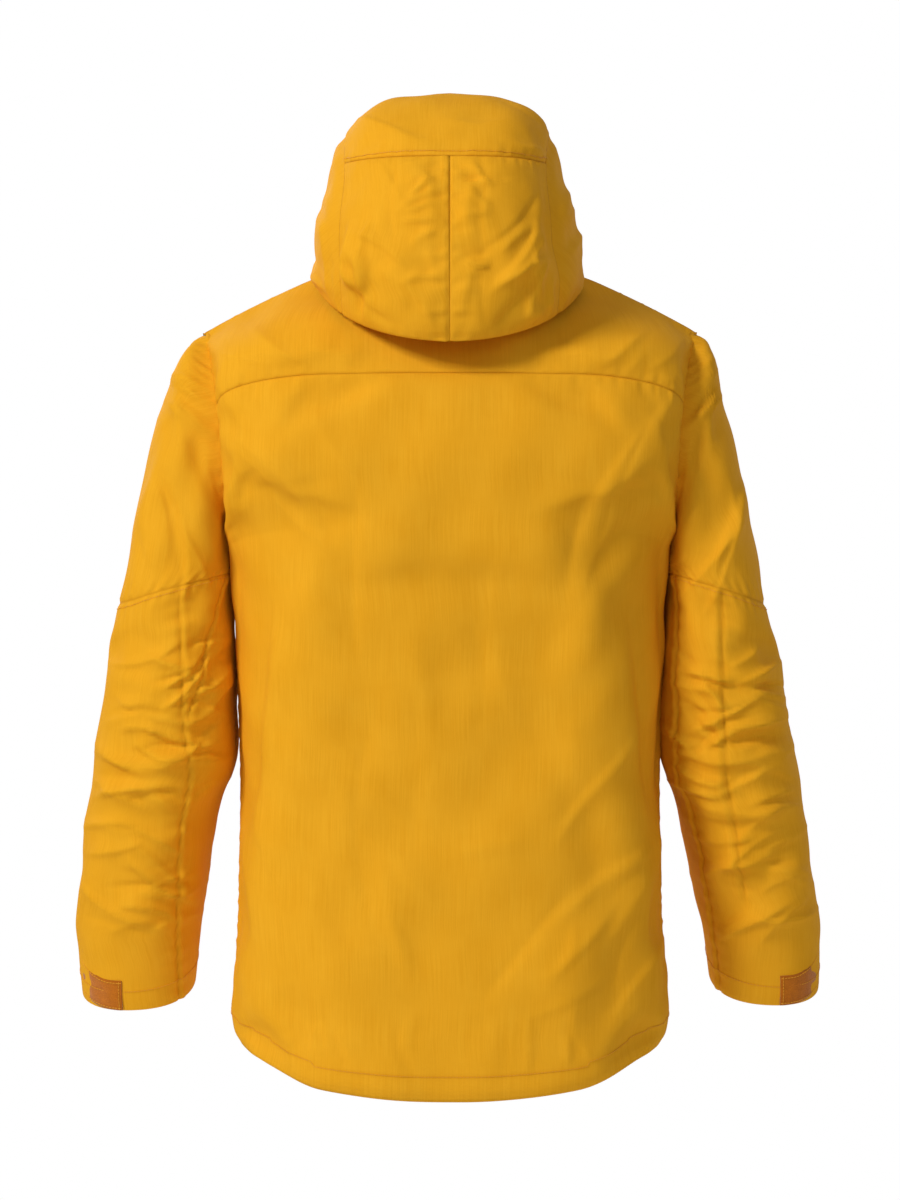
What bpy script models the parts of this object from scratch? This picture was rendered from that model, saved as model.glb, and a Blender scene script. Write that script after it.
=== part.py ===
# A hooded ski jacket, hung from the loop at its nape with the sleeves down and the zip closed.
# Metres, +Z up, front towards -Y, wearer's left towards +X. The origin is the underside of the
# hanger loop. Surfaces are worked out in the arm plane's frame, whose Y is zero at the shoulder
# tips, and every object is then moved back by the distance from the arm plane to the loop.
import math

import bmesh
import bpy
from mathutils import Matrix, Vector

# Driving dimensions
armPlaneY = -0.045          # shoulder tips, measured from the hanger loop
shellWall = 0.0025          # face fabric with its insulation, bonded
liningWall = 0.0015
liningDepth = 0.0085        # lining's outer face, measured in from the shell's outer face
seamGap = 0.0004            # clearance between pieces that are sewn edge to edge
shoulderTipX = 0.2465
shoulderTipZ = -0.047
neckHalfWidth = 0.090
neckSideZ = 0.027
neckBackY = 0.055
neckFrontZ = -0.080
sideHemZ = -0.751           # hem at the side seams
backHemDrop = 0.039         # how far the back hem hangs below the side hem
hemRound = 0.10             # share of the half width over which the hem's low point is rounded
armpitZ = -0.262
zipHalfWidth = 0.0125       # centre line to the edge of each front panel
zipTopZ = 0.062
zipBottomZ = -0.744
frontTopY = -0.105          # the straight front line, at frontTopZ and at frontBottomZ
frontTopZ = 0.075
frontBottomY = -0.145
frontBottomZ = -0.750
hoodPivotY = -0.020         # the hood's ribs fan out from here
hoodPivotZ = 0.030
hoodBrimAngle = 35.0        # degrees above the level line, at the front edge of the brim
hoodNapeAngle = 208.0       # and at the lower back edge
hoodPoleHalfWidth = 0.127
crownSeamZ = 0.114          # the level seam between crown and back of the hood
crownDomeTop = 0.1963       # the crown is cut to a dome of this height and radius
crownDomeRadius = 0.155
crownDomeBlend = 0.006
sideSeamTurn = 42.0         # degrees round each rib, from its end to the side seam
cuffGap = 0.0010
sideSeamShare = 0.0001      # side seam's half gap, as a share of the panel's half turn
tabWall = 0.0020
zipBeadHalfWidth = 0.0030
zipBeadHeight = 0.0016
zipTapeWall = 0.0012
sliderLength = 0.014
sliderWall = 0.0014
sliderClearance = 0.0004
pullerLength = 0.042
pullerWidth = 0.0075
pullerWall = 0.0016
loopHalfWidth = 0.030       # hanger loop
loopStrapWidth = 0.008
loopStrapWall = 0.002
pocketZipLength = 0.165
pocketZipWidth = 0.018

# Level sections of the back, hem to yoke: side z, centre z, half width, side y, back y, squareness
backRows = [
    (sideHemZ, sideHemZ - backHemDrop, 0.2125, -0.005, 0.150, 2.7),
    (-0.680, -0.700, 0.2120, -0.005, 0.143, 2.7),
    (-0.600, -0.610, 0.2090, -0.004, 0.136, 2.7),
    (-0.500, -0.500, 0.2075, -0.002, 0.130, 2.7),
    (-0.400, -0.395, 0.2100, 0.000, 0.132, 2.7),
    (-0.320, -0.305, 0.2115, 0.002, 0.138, 2.7),
    (armpitZ, -0.242, 0.2145, 0.006, 0.142, 2.7),
    (-0.230, -0.200, 0.2200, 0.040, 0.142, 3.0),
    (-0.185, -0.155, 0.2235, 0.060, 0.139, 3.0),
    (-0.122, -0.092, 0.2280, 0.060, 0.125, 3.0),
    (-0.085, -0.055, 0.2350, 0.043, 0.107, 2.6),
]
yokeRow = 9.0
ridgeRow = 11.0
armpitRow = 6

# The same for each front, whose centre edge lies on the straight front line
frontRows = [
    (sideHemZ, frontBottomZ, 0.2125, -0.005, 2.5),
    (-0.680, -0.680, 0.2120, -0.005, 2.5),
    (-0.600, -0.600, 0.2090, -0.004, 2.5),
    (-0.500, -0.500, 0.2075, -0.002, 2.5),
    (-0.400, -0.400, 0.2100, 0.000, 2.5),
    (-0.320, -0.310, 0.2115, 0.002, 2.5),
    (armpitZ, -0.250, 0.2145, 0.006, 2.5),
    (-0.230, -0.196, 0.2195, -0.030, 2.5),
    (-0.185, -0.145, 0.2225, -0.050, 2.5),
    (-0.122, neckFrontZ, 0.2265, -0.052, 2.5),
]
collarBoneStart = (0.062, -0.090, -0.043)
collarBoneEnd = (0.2345, -0.036, -0.085)

# Sleeve sections below the armhole: outer x, outer z, inner x, inner z, centre y, half depth,
# and the pitch in degrees that lowers the section's back as the sleeve curves forward
sleeveRows = [
    (0.2680, -0.064, 0.2172, -0.2670, 0.004, 0.062, 0.0),
    (0.2870, -0.118, 0.2168, -0.2720, 0.004, 0.066, 0.0),
    (0.3060, -0.198, 0.2166, -0.2780, 0.002, 0.069, 0.0),
    (0.3290, -0.315, 0.2165, -0.2840, 0.000, 0.070, 0.0),
    (0.3390, -0.365, 0.2150, -0.3450, -0.003, 0.070, 2.0),
    (0.3475, -0.420, 0.2145, -0.4150, -0.009, 0.070, 5.0),
    (0.3560, -0.475, 0.2170, -0.4680, -0.018, 0.069, 9.0),
    (0.3625, -0.528, 0.2300, -0.5150, -0.030, 0.068, 13.0),
    (0.3685, -0.590, 0.2390, -0.5800, -0.045, 0.066, 17.0),
    (0.3725, -0.650, 0.2500, -0.6400, -0.060, 0.064, 21.0),
    (0.3695, -0.700, 0.2560, -0.6920, -0.072, 0.062, 24.0),
]
sleeveSquareness = 2.15
headRow = 2.0               # sleeve head ends, cap begins
ringSeamRow = 4.0           # cap ends at the ring seam
elbowTopRow = 6.0
elbowBottomRow = 8.0
cuffRow = 11.0

# Hood ribs: angle, radius, half width, squareness. The list closes on itself below the neck
hoodRibs = [
    (-50.0, 0.135, 0.090, 3.2),
    (-20.0, 0.145, 0.098, 3.2),
    (0.0, 0.150, 0.104, 3.2),
    (30.0, 0.160, 0.113, 3.2),
    (60.0, 0.163, 0.119, 3.2),
    (90.0, 0.163, 0.121, 3.2),
    (120.0, 0.170, 0.126, 3.2),
    (150.0, 0.182, 0.131, 2.9),
    (180.0, 0.193, 0.136, 2.5),
    (208.0, 0.203, 0.139, 2.1),
    (240.0, 0.185, 0.130, 2.4),
    (275.0, 0.155, 0.110, 2.9),
    (310.0, 0.135, 0.090, 3.2),
]
poleBlend = 0.060           # the ribs' half widths even out within this of the pivot

# Lower edge of each hood side, chin to nape: share of the way round, y, z. It rises to the pivot
# where the front part of the hood turns past the shoulder
hoodLowerEdge = [
    (0.00, -0.112, -0.045),
    (0.25, -0.060, 0.000),
    (0.50, -0.022, 0.022),
    (0.68, -0.004, 0.034),
    (0.84, 0.012, 0.014),
    (1.00, 0.042, -0.003),
]

collarTopZ = [0.064, 0.070, 0.076, 0.084, 0.088, 0.080, 0.070, 0.064]
neckSideShare = 0.57         # share of the half neckline in front of the shoulder seam
collarLean = 0.94           # the collar's top edge, as a share of the neckline's width


# Curves and surfaces

def spline(points, at):
    """Point at a fractional index along a smooth curve through the points."""
    last = len(points) - 1
    index = min(max(int(math.floor(at)), 0), last - 1)
    share = at - index
    here = Vector(points[index])
    after = Vector(points[index + 1])
    before = Vector(points[index - 1]) if index > 0 else here * 2 - after
    beyond = Vector(points[index + 2]) if index + 2 <= last else after * 2 - here
    leave = (after - before) / 2
    arrive = (beyond - here) / 2
    square = share * share
    cube = square * share
    return (here * (2 * cube - 3 * square + 1) + leave * (cube - 2 * square + share)
            + after * (3 * square - 2 * cube) + arrive * (cube - square))


def cornerShift(values, at):
    """What a smooth curve through the values lacks of one that turns a corner at the armpit."""
    pairs = [(value, 0.0) for value in values]
    if at <= armpitRow:
        cornered = spline(pairs[:armpitRow + 1], at)
    else:
        cornered = spline(pairs[armpitRow:], at - armpitRow)
    return cornered.x - spline(pairs, at).x


def smooth(value):
    value = min(max(value, 0.0), 1.0)
    return value * value * (3 - 2 * value)


def power(value, squareness):
    """Signed superellipse term of a sine or cosine."""
    return math.copysign(abs(value) ** (2 / squareness), value)


def frontLineY(z):
    """The straight line that the zip follows down the front."""
    share = (frontTopZ - z) / (frontTopZ - frontBottomZ)
    return frontTopY + (frontBottomY - frontTopY) * share


def shoulderLine(x):
    """Ridge of the shoulders, and between the neck points the back of the neckline."""
    reach = abs(x)
    if reach >= neckHalfWidth:
        share = (reach - neckHalfWidth) / (shoulderTipX - neckHalfWidth)
        drop = (neckSideZ - shoulderTipZ) * (0.89 * share + 0.11 * share ** 3)
        return Vector((x, 0.008 * (1 - share), neckSideZ - drop))
    arch = math.sqrt(1 - (reach / neckHalfWidth) ** 2)
    return Vector((x, 0.008 + (neckBackY - 0.008) * arch, neckSideZ * (1 - arch)))


def hemRise(across):
    """How far the back hem has risen, 0 at the centre and 1 at the side seam."""
    return (math.hypot(across, hemRound) - hemRound) / (math.hypot(1, hemRound) - hemRound)


def backRowPoint(across, row):
    angle = across * math.pi / 2
    if row >= len(backRows):
        return shoulderLine(shoulderTipX * power(math.sin(angle), 2.6))
    sideZ, centreZ, halfWidth, sideY, backY, squareness = backRows[row]
    fall = 1 - (hemRise(across) if row == 0 else across * across)
    return Vector((
        halfWidth * power(math.sin(angle), squareness),
        sideY + (backY - sideY) * power(math.cos(angle), squareness),
        sideZ + (centreZ - sideZ) * fall))


def backPoint(across, row):
    """Back of the torso: across -1 to 1, row from the hem to the shoulder ridge."""
    point = spline([backRowPoint(across, index) for index in range(len(backRows) + 1)], row)
    side = 1 - power(math.cos(min(abs(across), 1.0) * math.pi / 2), 2.7)
    point.y += side * cornerShift([values[3] for values in backRows], min(row, yokeRow))
    return point


def frontRowPoint(across, row):
    if row > len(frontRows):
        start = Vector(shoulderLine(neckHalfWidth))
        end = Vector(shoulderLine(shoulderTipX))
        return shoulderLine(start.x + (end.x - start.x) * across)
    if row == len(frontRows):
        point = Vector(collarBoneStart).lerp(Vector(collarBoneEnd), across)
        point.y -= 0.012 * math.sin(math.pi * across)
        return point
    sideZ, centreZ, halfWidth, sideY, squareness = frontRows[row]
    angle = across * math.pi / 2
    z = sideZ + (centreZ - sideZ) * (1 - across * across)
    return Vector((
        zipHalfWidth + (halfWidth - zipHalfWidth) * power(math.sin(angle), squareness),
        sideY + (frontLineY(z) - sideY) * power(math.cos(angle), squareness),
        z))


def frontPoint(across, row):
    """Left front: across 0 at the zip to 1 at the side, row from the hem to the shoulder ridge."""
    points = [frontRowPoint(across, index) for index in range(len(frontRows) + 2)]
    neckRow = len(frontRows) - 1
    if row <= neckRow:
        cornered = spline(points[:neckRow + 1], row)
    else:
        cornered = spline(points[neckRow:], row - neckRow)
    point = cornered.lerp(spline(points, row), smooth(across * 4))
    side = 1 - power(math.cos(min(across, 1.0) * math.pi / 2), 2.5)
    point.y += side * cornerShift([values[3] for values in frontRows], min(row, yokeRow))
    return point


def torsoRing(turn, row):
    """All the way round below the armpits: turn 0 at the centre back, +-1 at the zip's edges."""
    if abs(turn) <= 0.5:
        return backPoint(turn * 2, row)
    point = frontPoint(2 - 2 * abs(turn), row)
    if turn < 0:
        point.x = -point.x
    return point


def armholePoints():
    """Armhole edge: shoulder tip, down the back to the armpit, and up the front."""
    rise = [backRowPoint(1.0, row) for row in range(len(backRows), armpitRow - 1, -1)]
    front = [frontRowPoint(1.0, row) for row in range(armpitRow + 1, len(frontRows) + 1)]
    return rise + front


armhole = armholePoints()


def sleeveRingPoint(turn, row):
    if row == 0:
        count = len(armhole)
        wrapped = [armhole[index % count] for index in range(-1, count + 3)]
        point = spline(wrapped, 1 + (turn % 1.0) * count)
        point.x += 4 * seamGap
        return point
    outerX, outerZ, innerX, innerZ, centreY, halfDepth, pitch = sleeveRows[row - 1]
    outer = Vector((outerX, centreY, outerZ))
    inner = Vector((innerX, centreY, innerZ))
    angle = turn * 2 * math.pi
    tilt = math.radians(pitch)
    deep = Vector((0, math.cos(tilt), -math.sin(tilt))) * halfDepth
    return ((outer + inner) / 2 + (outer - inner) / 2 * power(math.cos(angle), sleeveSquareness)
            + deep * power(math.sin(angle), sleeveSquareness))


def sleevePoint(turn, row):
    """Left sleeve: turn 0 outside, 0.25 back, 0.5 inside, 0.75 front; row from armhole to cuff."""
    return spline([sleeveRingPoint(turn, index) for index in range(len(sleeveRows) + 1)], row)


def ribAt(degrees):
    """Radius, half width and squareness of the hood rib at an angle."""
    first = hoodRibs[0][0]
    angle = (degrees - first) % 360 + first
    for index in range(len(hoodRibs) - 1):
        start = hoodRibs[index][0]
        end = hoodRibs[index + 1][0]
        if angle <= end:
            found = spline([rib[1:] for rib in hoodRibs], index + (angle - start) / (end - start))
            return found
    return Vector(hoodRibs[-1][1:])


def hoodWidthAt(y, z):
    """Half width of the hood over a point of its side view."""
    forward = hoodPivotY - y
    upward = z - hoodPivotZ
    reach = math.hypot(forward, upward)
    radius, halfWidth, squareness = ribAt(math.degrees(math.atan2(upward, forward)))
    share = min(reach / radius, 0.999)
    width = hoodPoleHalfWidth + (halfWidth - hoodPoleHalfWidth) * smooth(reach / poleBlend)
    return width * (1 - share ** squareness) ** (1 / squareness)


def underDome(x, z):
    """Height on the hood, brought down to the crown's dome where it would stand above it."""
    dome = crownDomeTop - crownDomeRadius + math.sqrt(crownDomeRadius ** 2 - x * x)
    above = z - dome
    return z - (above + math.hypot(above, crownDomeBlend)) / 2


def hoodRibPoint(turnDegrees, angleDegrees):
    """Point on a rib: turn 0 and 180 at its ends, 90 over the middle."""
    radius, halfWidth, squareness = ribAt(angleDegrees)
    turn = math.radians(turnDegrees)
    reach = radius * power(math.sin(turn), squareness)
    angle = math.radians(angleDegrees)
    y = hoodPivotY - reach * math.cos(angle)
    z = hoodPivotZ + reach * math.sin(angle)
    width = hoodPoleHalfWidth + (halfWidth - hoodPoleHalfWidth) * smooth(reach / poleBlend)
    x = width * power(math.cos(turn), squareness)
    return Vector((x, y, underDome(x, z)))


def crownSeamAngle(turnDegrees):
    """Rib angle at which the crown seam's level crosses this turn, behind the top."""
    low = 100.0
    high = 200.0
    for _ in range(24):
        middle = (low + high) / 2
        if hoodRibPoint(turnDegrees, middle).z > crownSeamZ:
            low = middle
        else:
            high = middle
    return (low + high) / 2


def hoodLowerPoint(around):
    for index in range(len(hoodLowerEdge) - 1):
        start = hoodLowerEdge[index][0]
        end = hoodLowerEdge[index + 1][0]
        if around <= end or index == len(hoodLowerEdge) - 2:
            at = index + (around - start) / (end - start)
            return spline([(y, z) for _, y, z in hoodLowerEdge], at)
    return None


def hoodSidePoint(around, up):
    """Left hood side: around 0 at the face to 1 at the nape, up 0 at the lower edge to 1 at the seam."""
    angle = hoodBrimAngle + (hoodNapeAngle - hoodBrimAngle) * around
    seam = hoodRibPoint(sideSeamTurn, angle)
    low = hoodLowerPoint(around)
    y = low.x + (seam.y - low.x) * up
    z = low.y + (seam.z - low.y) * up
    width = hoodWidthAt(y, z)
    share = smooth((up - 0.9) / 0.1)
    return Vector((width + (seam.x - width) * share, y, z))


def necklinePoint(around):
    """Neckline: around -1 at the left front, 0 at the back, 1 at the right front."""
    reach = 1 - abs(around)
    if reach < neckSideShare:
        neckRow = len(frontRows) - 1
        point = frontPoint(0.0, neckRow + (ridgeRow - neckRow) * reach / neckSideShare)
    else:
        turn = (reach - neckSideShare) / (1 - neckSideShare) * math.pi / 2
        point = shoulderLine(neckHalfWidth * math.cos(turn))
    if around > 0:
        point.x = -point.x
    return point


def collarPoint(around, up):
    low = necklinePoint(around)
    low.z += 0.004
    top = spline([(value,) * 2 for value in collarTopZ], (1 - abs(around)) * (len(collarTopZ) - 1))
    inset = 1 - (1 - collarLean) * up * smooth((1 - abs(around)) * 6)
    z = low.z + (top.x - low.z) * up
    y = low.y * inset
    front = smooth((abs(around) - 0.86) / 0.10)
    y += (frontLineY(z) - y) * front
    return Vector((low.x * inset, y, z))


def hoodDrapePoint(around, out):
    """Fabric under the hood: out 0 at the neckline, 1 at the hood's lower edge."""
    low = necklinePoint(around)
    low += Vector((low.x, low.y, 0)).normalized() * 0.005
    low.z += 0.006
    reach = 1 - abs(around)
    napeShare = 0.80
    if reach < neckSideShare:
        edge = hoodSidePoint(0.5 * reach / neckSideShare, 0.0)
    elif reach < napeShare:
        edge = hoodSidePoint(0.5 + 0.5 * (reach - neckSideShare) / (napeShare - neckSideShare), 0.0)
    else:
        turn = (reach - napeShare) / (1 - napeShare)
        first = hoodTurnAt(hoodSidePoint(1.0, 0.0))
        edge = hoodRibPoint(first + (90 - first) * turn, hoodNapeAngle)
    if around > 0:
        edge.x = -edge.x
    inward = Vector((edge.x, edge.y - hoodPivotY, 0)).normalized() * 0.008
    edge = edge - inward
    edge.z += 0.003
    point = low.lerp(edge, out)
    point.z += 0.004 * math.sin(math.pi * out)
    return point


def hoodTurnAt(point):
    """Turn round the nape rib of a point that lies on it."""
    radius, halfWidth, squareness = ribAt(hoodNapeAngle)
    reach = math.hypot(point.y - hoodPivotY, point.z - hoodPivotZ)
    return math.degrees(math.asin(min(1.0, (reach / radius) ** (squareness / 2))))


# Mesh building

materials = {}


def material(name, colour, roughness, metallic=0.0):
    made = bpy.data.materials.new(name)
    made.use_nodes = True
    shader = made.node_tree.nodes["Principled BSDF"]
    shader.inputs["Base Color"].default_value = (*colour, 1.0)
    shader.inputs["Roughness"].default_value = roughness
    shader.inputs["Metallic"].default_value = metallic
    made.diffuse_color = (*colour, 1.0)
    materials[name] = made


def finish(name, mesh, look, origin=(0, 0, 0), shade=True):
    """Make the object, with its origin on its joint's axis where it has one."""
    origin = Vector(origin)
    bmesh.ops.translate(mesh, vec=-origin, verts=mesh.verts[:])
    bmesh.ops.recalc_face_normals(mesh, faces=mesh.faces[:])
    data = bpy.data.meshes.new(name)
    mesh.to_mesh(data)
    mesh.free()
    if shade:
        data.shade_smooth()
        data.set_sharp_from_angle(angle=math.radians(40))
    own = materials[look].copy()
    own.name = name
    data.materials.append(own)
    made = bpy.data.objects.new(name, data)
    made.location = origin + Vector((0, armPlaneY, 0))
    bpy.context.collection.objects.link(made)
    return made


def patternSlab(across, along):
    """Flat unit slab of squares, one unit thick, to be bent onto a surface."""
    mesh = bmesh.new()
    bmesh.ops.create_grid(mesh, x_segments=across, y_segments=along, size=0.5)
    bmesh.ops.translate(mesh, vec=(0.5, 0.5, 0), verts=mesh.verts[:])
    bmesh.ops.solidify(mesh, geom=mesh.faces[:], thickness=1.0)
    return mesh


def spunRectangle(innerRadius, outerRadius, height, along, around):
    """Ring of rectangular section round +Z, standing on the level plane."""
    mesh = bmesh.new()
    bmesh.ops.create_grid(mesh, x_segments=1, y_segments=along, size=0.5)
    bmesh.ops.rotate(mesh, cent=(0, 0, 0), matrix=Matrix.Rotation(math.pi / 2, 3, "X"),
                     verts=mesh.verts[:])
    bmesh.ops.scale(mesh, vec=(outerRadius - innerRadius, 1, height), verts=mesh.verts[:])
    bmesh.ops.translate(mesh, vec=((outerRadius + innerRadius) / 2, 0, height / 2),
                        verts=mesh.verts[:])
    inside = [line for line in mesh.edges if not line.is_boundary]
    bmesh.ops.delete(mesh, geom=mesh.faces[:], context="FACES_ONLY")
    bmesh.ops.delete(mesh, geom=inside, context="EDGES")
    bmesh.ops.spin(mesh, geom=mesh.verts[:] + mesh.edges[:], cent=(0, 0, 0), axis=(0, 0, 1),
                   angle=2 * math.pi, steps=around, use_merge=True, use_duplicate=False)
    return mesh


def normalOf(surface, first, second, outward):
    """Unit normal of a surface, on the side that the outward point lies on."""
    step = 0.004
    along = surface(first + step, second) - surface(first - step, second)
    over = surface(first, second + step) - surface(first, second - step)
    normal = along.cross(over).normalized()
    here = surface(first, second)
    if normal.dot(here - outward(here)) < 0:
        normal = -normal
    if surface in (backPoint, frontPoint):
        share = smooth((second - ridgeRow + 1) * 1.25) * smooth((abs(here.x) - 0.080) / 0.012)
        normal = normal.lerp(ridgeNormal(here.x), share).normalized()
    return normal


def ridgeNormal(x):
    """Upward normal that the yoke and the fronts share along the shoulder seam."""
    fall = (neckSideZ - shoulderTipZ) / (shoulderTipX - neckHalfWidth)
    return Vector((math.copysign(fall, x), 0, 1)).normalized()


def torsoCore(point):
    return Vector((0, 0.0, point.z - 0.02 if point.z > -0.12 else point.z))


def sleeveCore(row):
    def core(point):
        middle = (sleevePoint(0.0, row) + sleevePoint(0.5, row)) / 2
        return middle
    return core


def hoodCore(point):
    return Vector((0, hoodPivotY + 0.02, hoodPivotZ + 0.01))


def between(stops, share):
    """Value at a share of the way through evenly counted stops."""
    at = share * (len(stops) - 1)
    index = min(int(at + 0.0001), len(stops) - 2)
    return stops[index] + (stops[index + 1] - stops[index]) * (at - index)


def bend(mesh, surface, core, firstStops, secondStops, depth, wall, mirrored=False):
    """Lay a pattern slab on a surface, its outer face at the depth below it."""
    for vert in mesh.verts:
        first = between(firstStops, vert.co.x)
        second = between(secondStops, vert.co.y)
        below = depth + wall * min(1.0, abs(vert.co.z))
        normal = normalOf(surface, first, second, core)
        point = surface(first, second) - normal * below
        if mirrored:
            point.x = -point.x
        vert.co = point


def evenly(first, last, steps):
    return [first + (last - first) * step / steps for step in range(steps + 1)]


def panel(name, look, surface, core, firstStops, secondStops,
          depth=0.0, wall=shellWall, mirrored=False):
    """Panel with a face for each step between its stops, both ways."""
    mesh = patternSlab(len(firstStops) - 1, len(secondStops) - 1)
    bend(mesh, surface, core, firstStops, secondStops, depth, wall, mirrored)
    return finish(name, mesh, look)


def rowsFor(distance, turn, row):
    """How many rows a distance along the sleeve is, at this turn."""
    step = (sleevePoint(turn, row + 0.1) - sleevePoint(turn, row - 0.1)).length / 0.2
    return distance / step


def sleeveTube(name, look, rows, along, depth, wall, mirrored, origin, around=16):
    """Length of sleeve between two rows, as an open tube, half a gap short at each end."""
    mesh = spunRectangle(1.0, 2.0, 1.0, along, around)
    for vert in mesh.verts:
        turn = math.atan2(vert.co.y, vert.co.x) / (2 * math.pi)
        first = rows[0] + rowsFor(seamGap, turn, rows[0])
        last = rows[1] - rowsFor(seamGap, turn, rows[1])
        row = first + (last - first) * vert.co.z
        outer = math.hypot(vert.co.x, vert.co.y) > 1.5
        below = depth if outer else depth + wall
        normal = normalOf(sleevePoint, turn, row, sleeveCore(row))
        point = sleevePoint(turn, row) - normal * below
        if mirrored:
            point.x = -point.x
        vert.co = point
    return finish(name, mesh, look, mirroredPoint(origin, mirrored))


def mirroredPoint(point, mirrored):
    return Vector((-point[0], point[1], point[2])) if mirrored else Vector(point)


def extrudedProfile(outline, start, end):
    """Closed prism: an outline of x, y pairs carried from one point to another."""
    mesh = bmesh.new()
    corners = [mesh.verts.new(Vector((x, y, 0)) + Vector(start)) for x, y in outline]
    face = mesh.faces.new(corners)
    grown = bmesh.ops.extrude_face_region(mesh, geom=[face], use_keep_orig=True)
    moved = [item for item in grown["geom"] if isinstance(item, bmesh.types.BMVert)]
    bmesh.ops.translate(mesh, vec=Vector(end) - Vector(start), verts=moved)
    return mesh


def boxMesh(low, high):
    mesh = bmesh.new()
    bmesh.ops.create_cube(mesh, size=1.0)
    size = Vector(high) - Vector(low)
    bmesh.ops.scale(mesh, vec=size, verts=mesh.verts[:])
    bmesh.ops.translate(mesh, vec=(Vector(low) + Vector(high)) / 2, verts=mesh.verts[:])
    return mesh


def unite(made, other):
    """Join two overlapping solids into one, and keep the second only as a guide."""
    modifier = made.modifiers.new("Unite", "BOOLEAN")
    modifier.operation = "UNION"
    modifier.solver = "EXACT"
    modifier.object = other
    other.hide_render = True
    other.display_type = "WIRE"


def faceAlong(mesh, point, normal):
    """Turn a mesh that stands on +Z onto a surface point and its normal."""
    turn = Vector((0, 0, 1)).rotation_difference(Vector(normal)).to_matrix()
    bmesh.ops.rotate(mesh, cent=(0, 0, 0), matrix=turn, verts=mesh.verts[:])
    bmesh.ops.translate(mesh, vec=point, verts=mesh.verts[:])


# Sub-parts

def makeMaterials():
    material("shell_fabric", (0.73, 0.34, 0.02), 0.75)
    material("lining_fabric", (0.06, 0.06, 0.065), 0.60)
    material("zip_tape", (0.70, 0.31, 0.02), 0.65)
    material("slider_metal", (0.08, 0.08, 0.085), 0.35, 1.0)
    material("pull_rubber", (0.62, 0.26, 0.02), 0.55)
    material("loop_pile", (0.60, 0.20, 0.02), 0.95)
    material("tab_rubber", (0.66, 0.28, 0.02), 0.60)
    material("webbing", (0.05, 0.05, 0.05), 0.80)
    material("skirt_fabric", (0.09, 0.09, 0.095), 0.70)
    material("eyelet_metal", (0.10, 0.10, 0.105), 0.35, 1.0)
    material("label_fabric", (0.45, 0.45, 0.45), 0.80)


def makeTorso():
    side = 1 - sideSeamShare
    gap = seamGap / 0.05
    lower = [0.0, 1.0, 2.0, 3.0, 4.0, 5.0, 5.5, 6.0, 6.5, 7.0, 7.5, 8.0, 8.5]
    upper = [9.5, 10.0, 10.5]
    inner = [0.8] + lower[1:]
    half = [0.04, 0.10, 0.174, 0.28, 0.42, 0.60, 0.76, 0.88, 0.96]
    narrow = [-share for share in reversed(half)] + [0.0] + half
    wide = [-side] + narrow + [side]
    panel("back_panel", "shell_fabric", backPoint, torsoCore, wide, lower + [yokeRow - gap])
    panel("back_yoke", "shell_fabric", backPoint, torsoCore, wide,
          [yokeRow + gap] + upper + [ridgeRow - gap])
    panel("lining_back", "lining_fabric", backPoint, torsoCore, narrow,
          inner + [9.0, 9.5, 10.0, 10.5], liningDepth, liningWall)
    panel("hem_facing_back", "shell_fabric", backPoint, torsoCore, narrow, (0.02, 0.62),
          shellWall + 0.0025, 0.0012)
    for name, mirrored in (("left", False), ("right", True)):
        panel("front_" + name, "shell_fabric", frontPoint, torsoCore, evenly(0.0, side, 7),
              lower + [9.0] + upper + [ridgeRow - gap], mirrored=mirrored)
        panel("lining_" + name, "lining_fabric", frontPoint, torsoCore, evenly(0.12, 0.96, 6),
              inner + [9.0, 9.5, 10.0], liningDepth, liningWall, mirrored)
        panel("hem_facing_" + name, "shell_fabric", frontPoint, torsoCore,
              evenly(0.12, 0.96, 6), (0.02, 0.40), shellWall + 0.0025, 0.0012, mirrored)
        panel("pocket_bag_" + name, "lining_fabric", frontPoint, torsoCore,
              evenly(0.40, 0.80, 4), (1.5, 2.0, 3.0, 3.5), shellWall + 0.0015, 0.0025, mirrored)
    panel("powder_skirt", "skirt_fabric", torsoRing, torsoCore, evenly(-0.94, 0.94, 28),
          (0.75, 1.5, 2.3), 0.020, liningWall)


def makeCollarAndNeck():
    panel("collar", "shell_fabric", collarPoint, torsoCore, evenly(-1.0, 1.0, 22),
          (0.0, 0.33, 0.67, 1.0), 0.0, 0.0030)
    outline = [(-loopHalfWidth, -0.010), (-loopHalfWidth, loopStrapWall),
               (loopHalfWidth, loopStrapWall), (loopHalfWidth, -0.010),
               (loopHalfWidth - loopStrapWall, -0.010), (loopHalfWidth - loopStrapWall, 0.0),
               (loopStrapWall - loopHalfWidth, 0.0), (loopStrapWall - loopHalfWidth, -0.010)]
    loop = extrudedProfile(outline, (0, 0, -loopStrapWidth / 2), (0, 0, loopStrapWidth / 2))
    bmesh.ops.rotate(loop, cent=(0, 0, 0), matrix=Matrix.Rotation(math.pi / 2, 3, "X"),
                     verts=loop.verts[:])
    bmesh.ops.translate(loop, vec=(0, -armPlaneY, 0), verts=loop.verts[:])
    finish("hanger_loop", loop, "webbing", shade=False)
    panel("neck_label", "label_fabric", backPoint, torsoCore, (-0.05, 0.0, 0.05),
          (ridgeRow - 0.95, ridgeRow - 0.60), liningDepth + liningWall + 0.0008, 0.0008)


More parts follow.
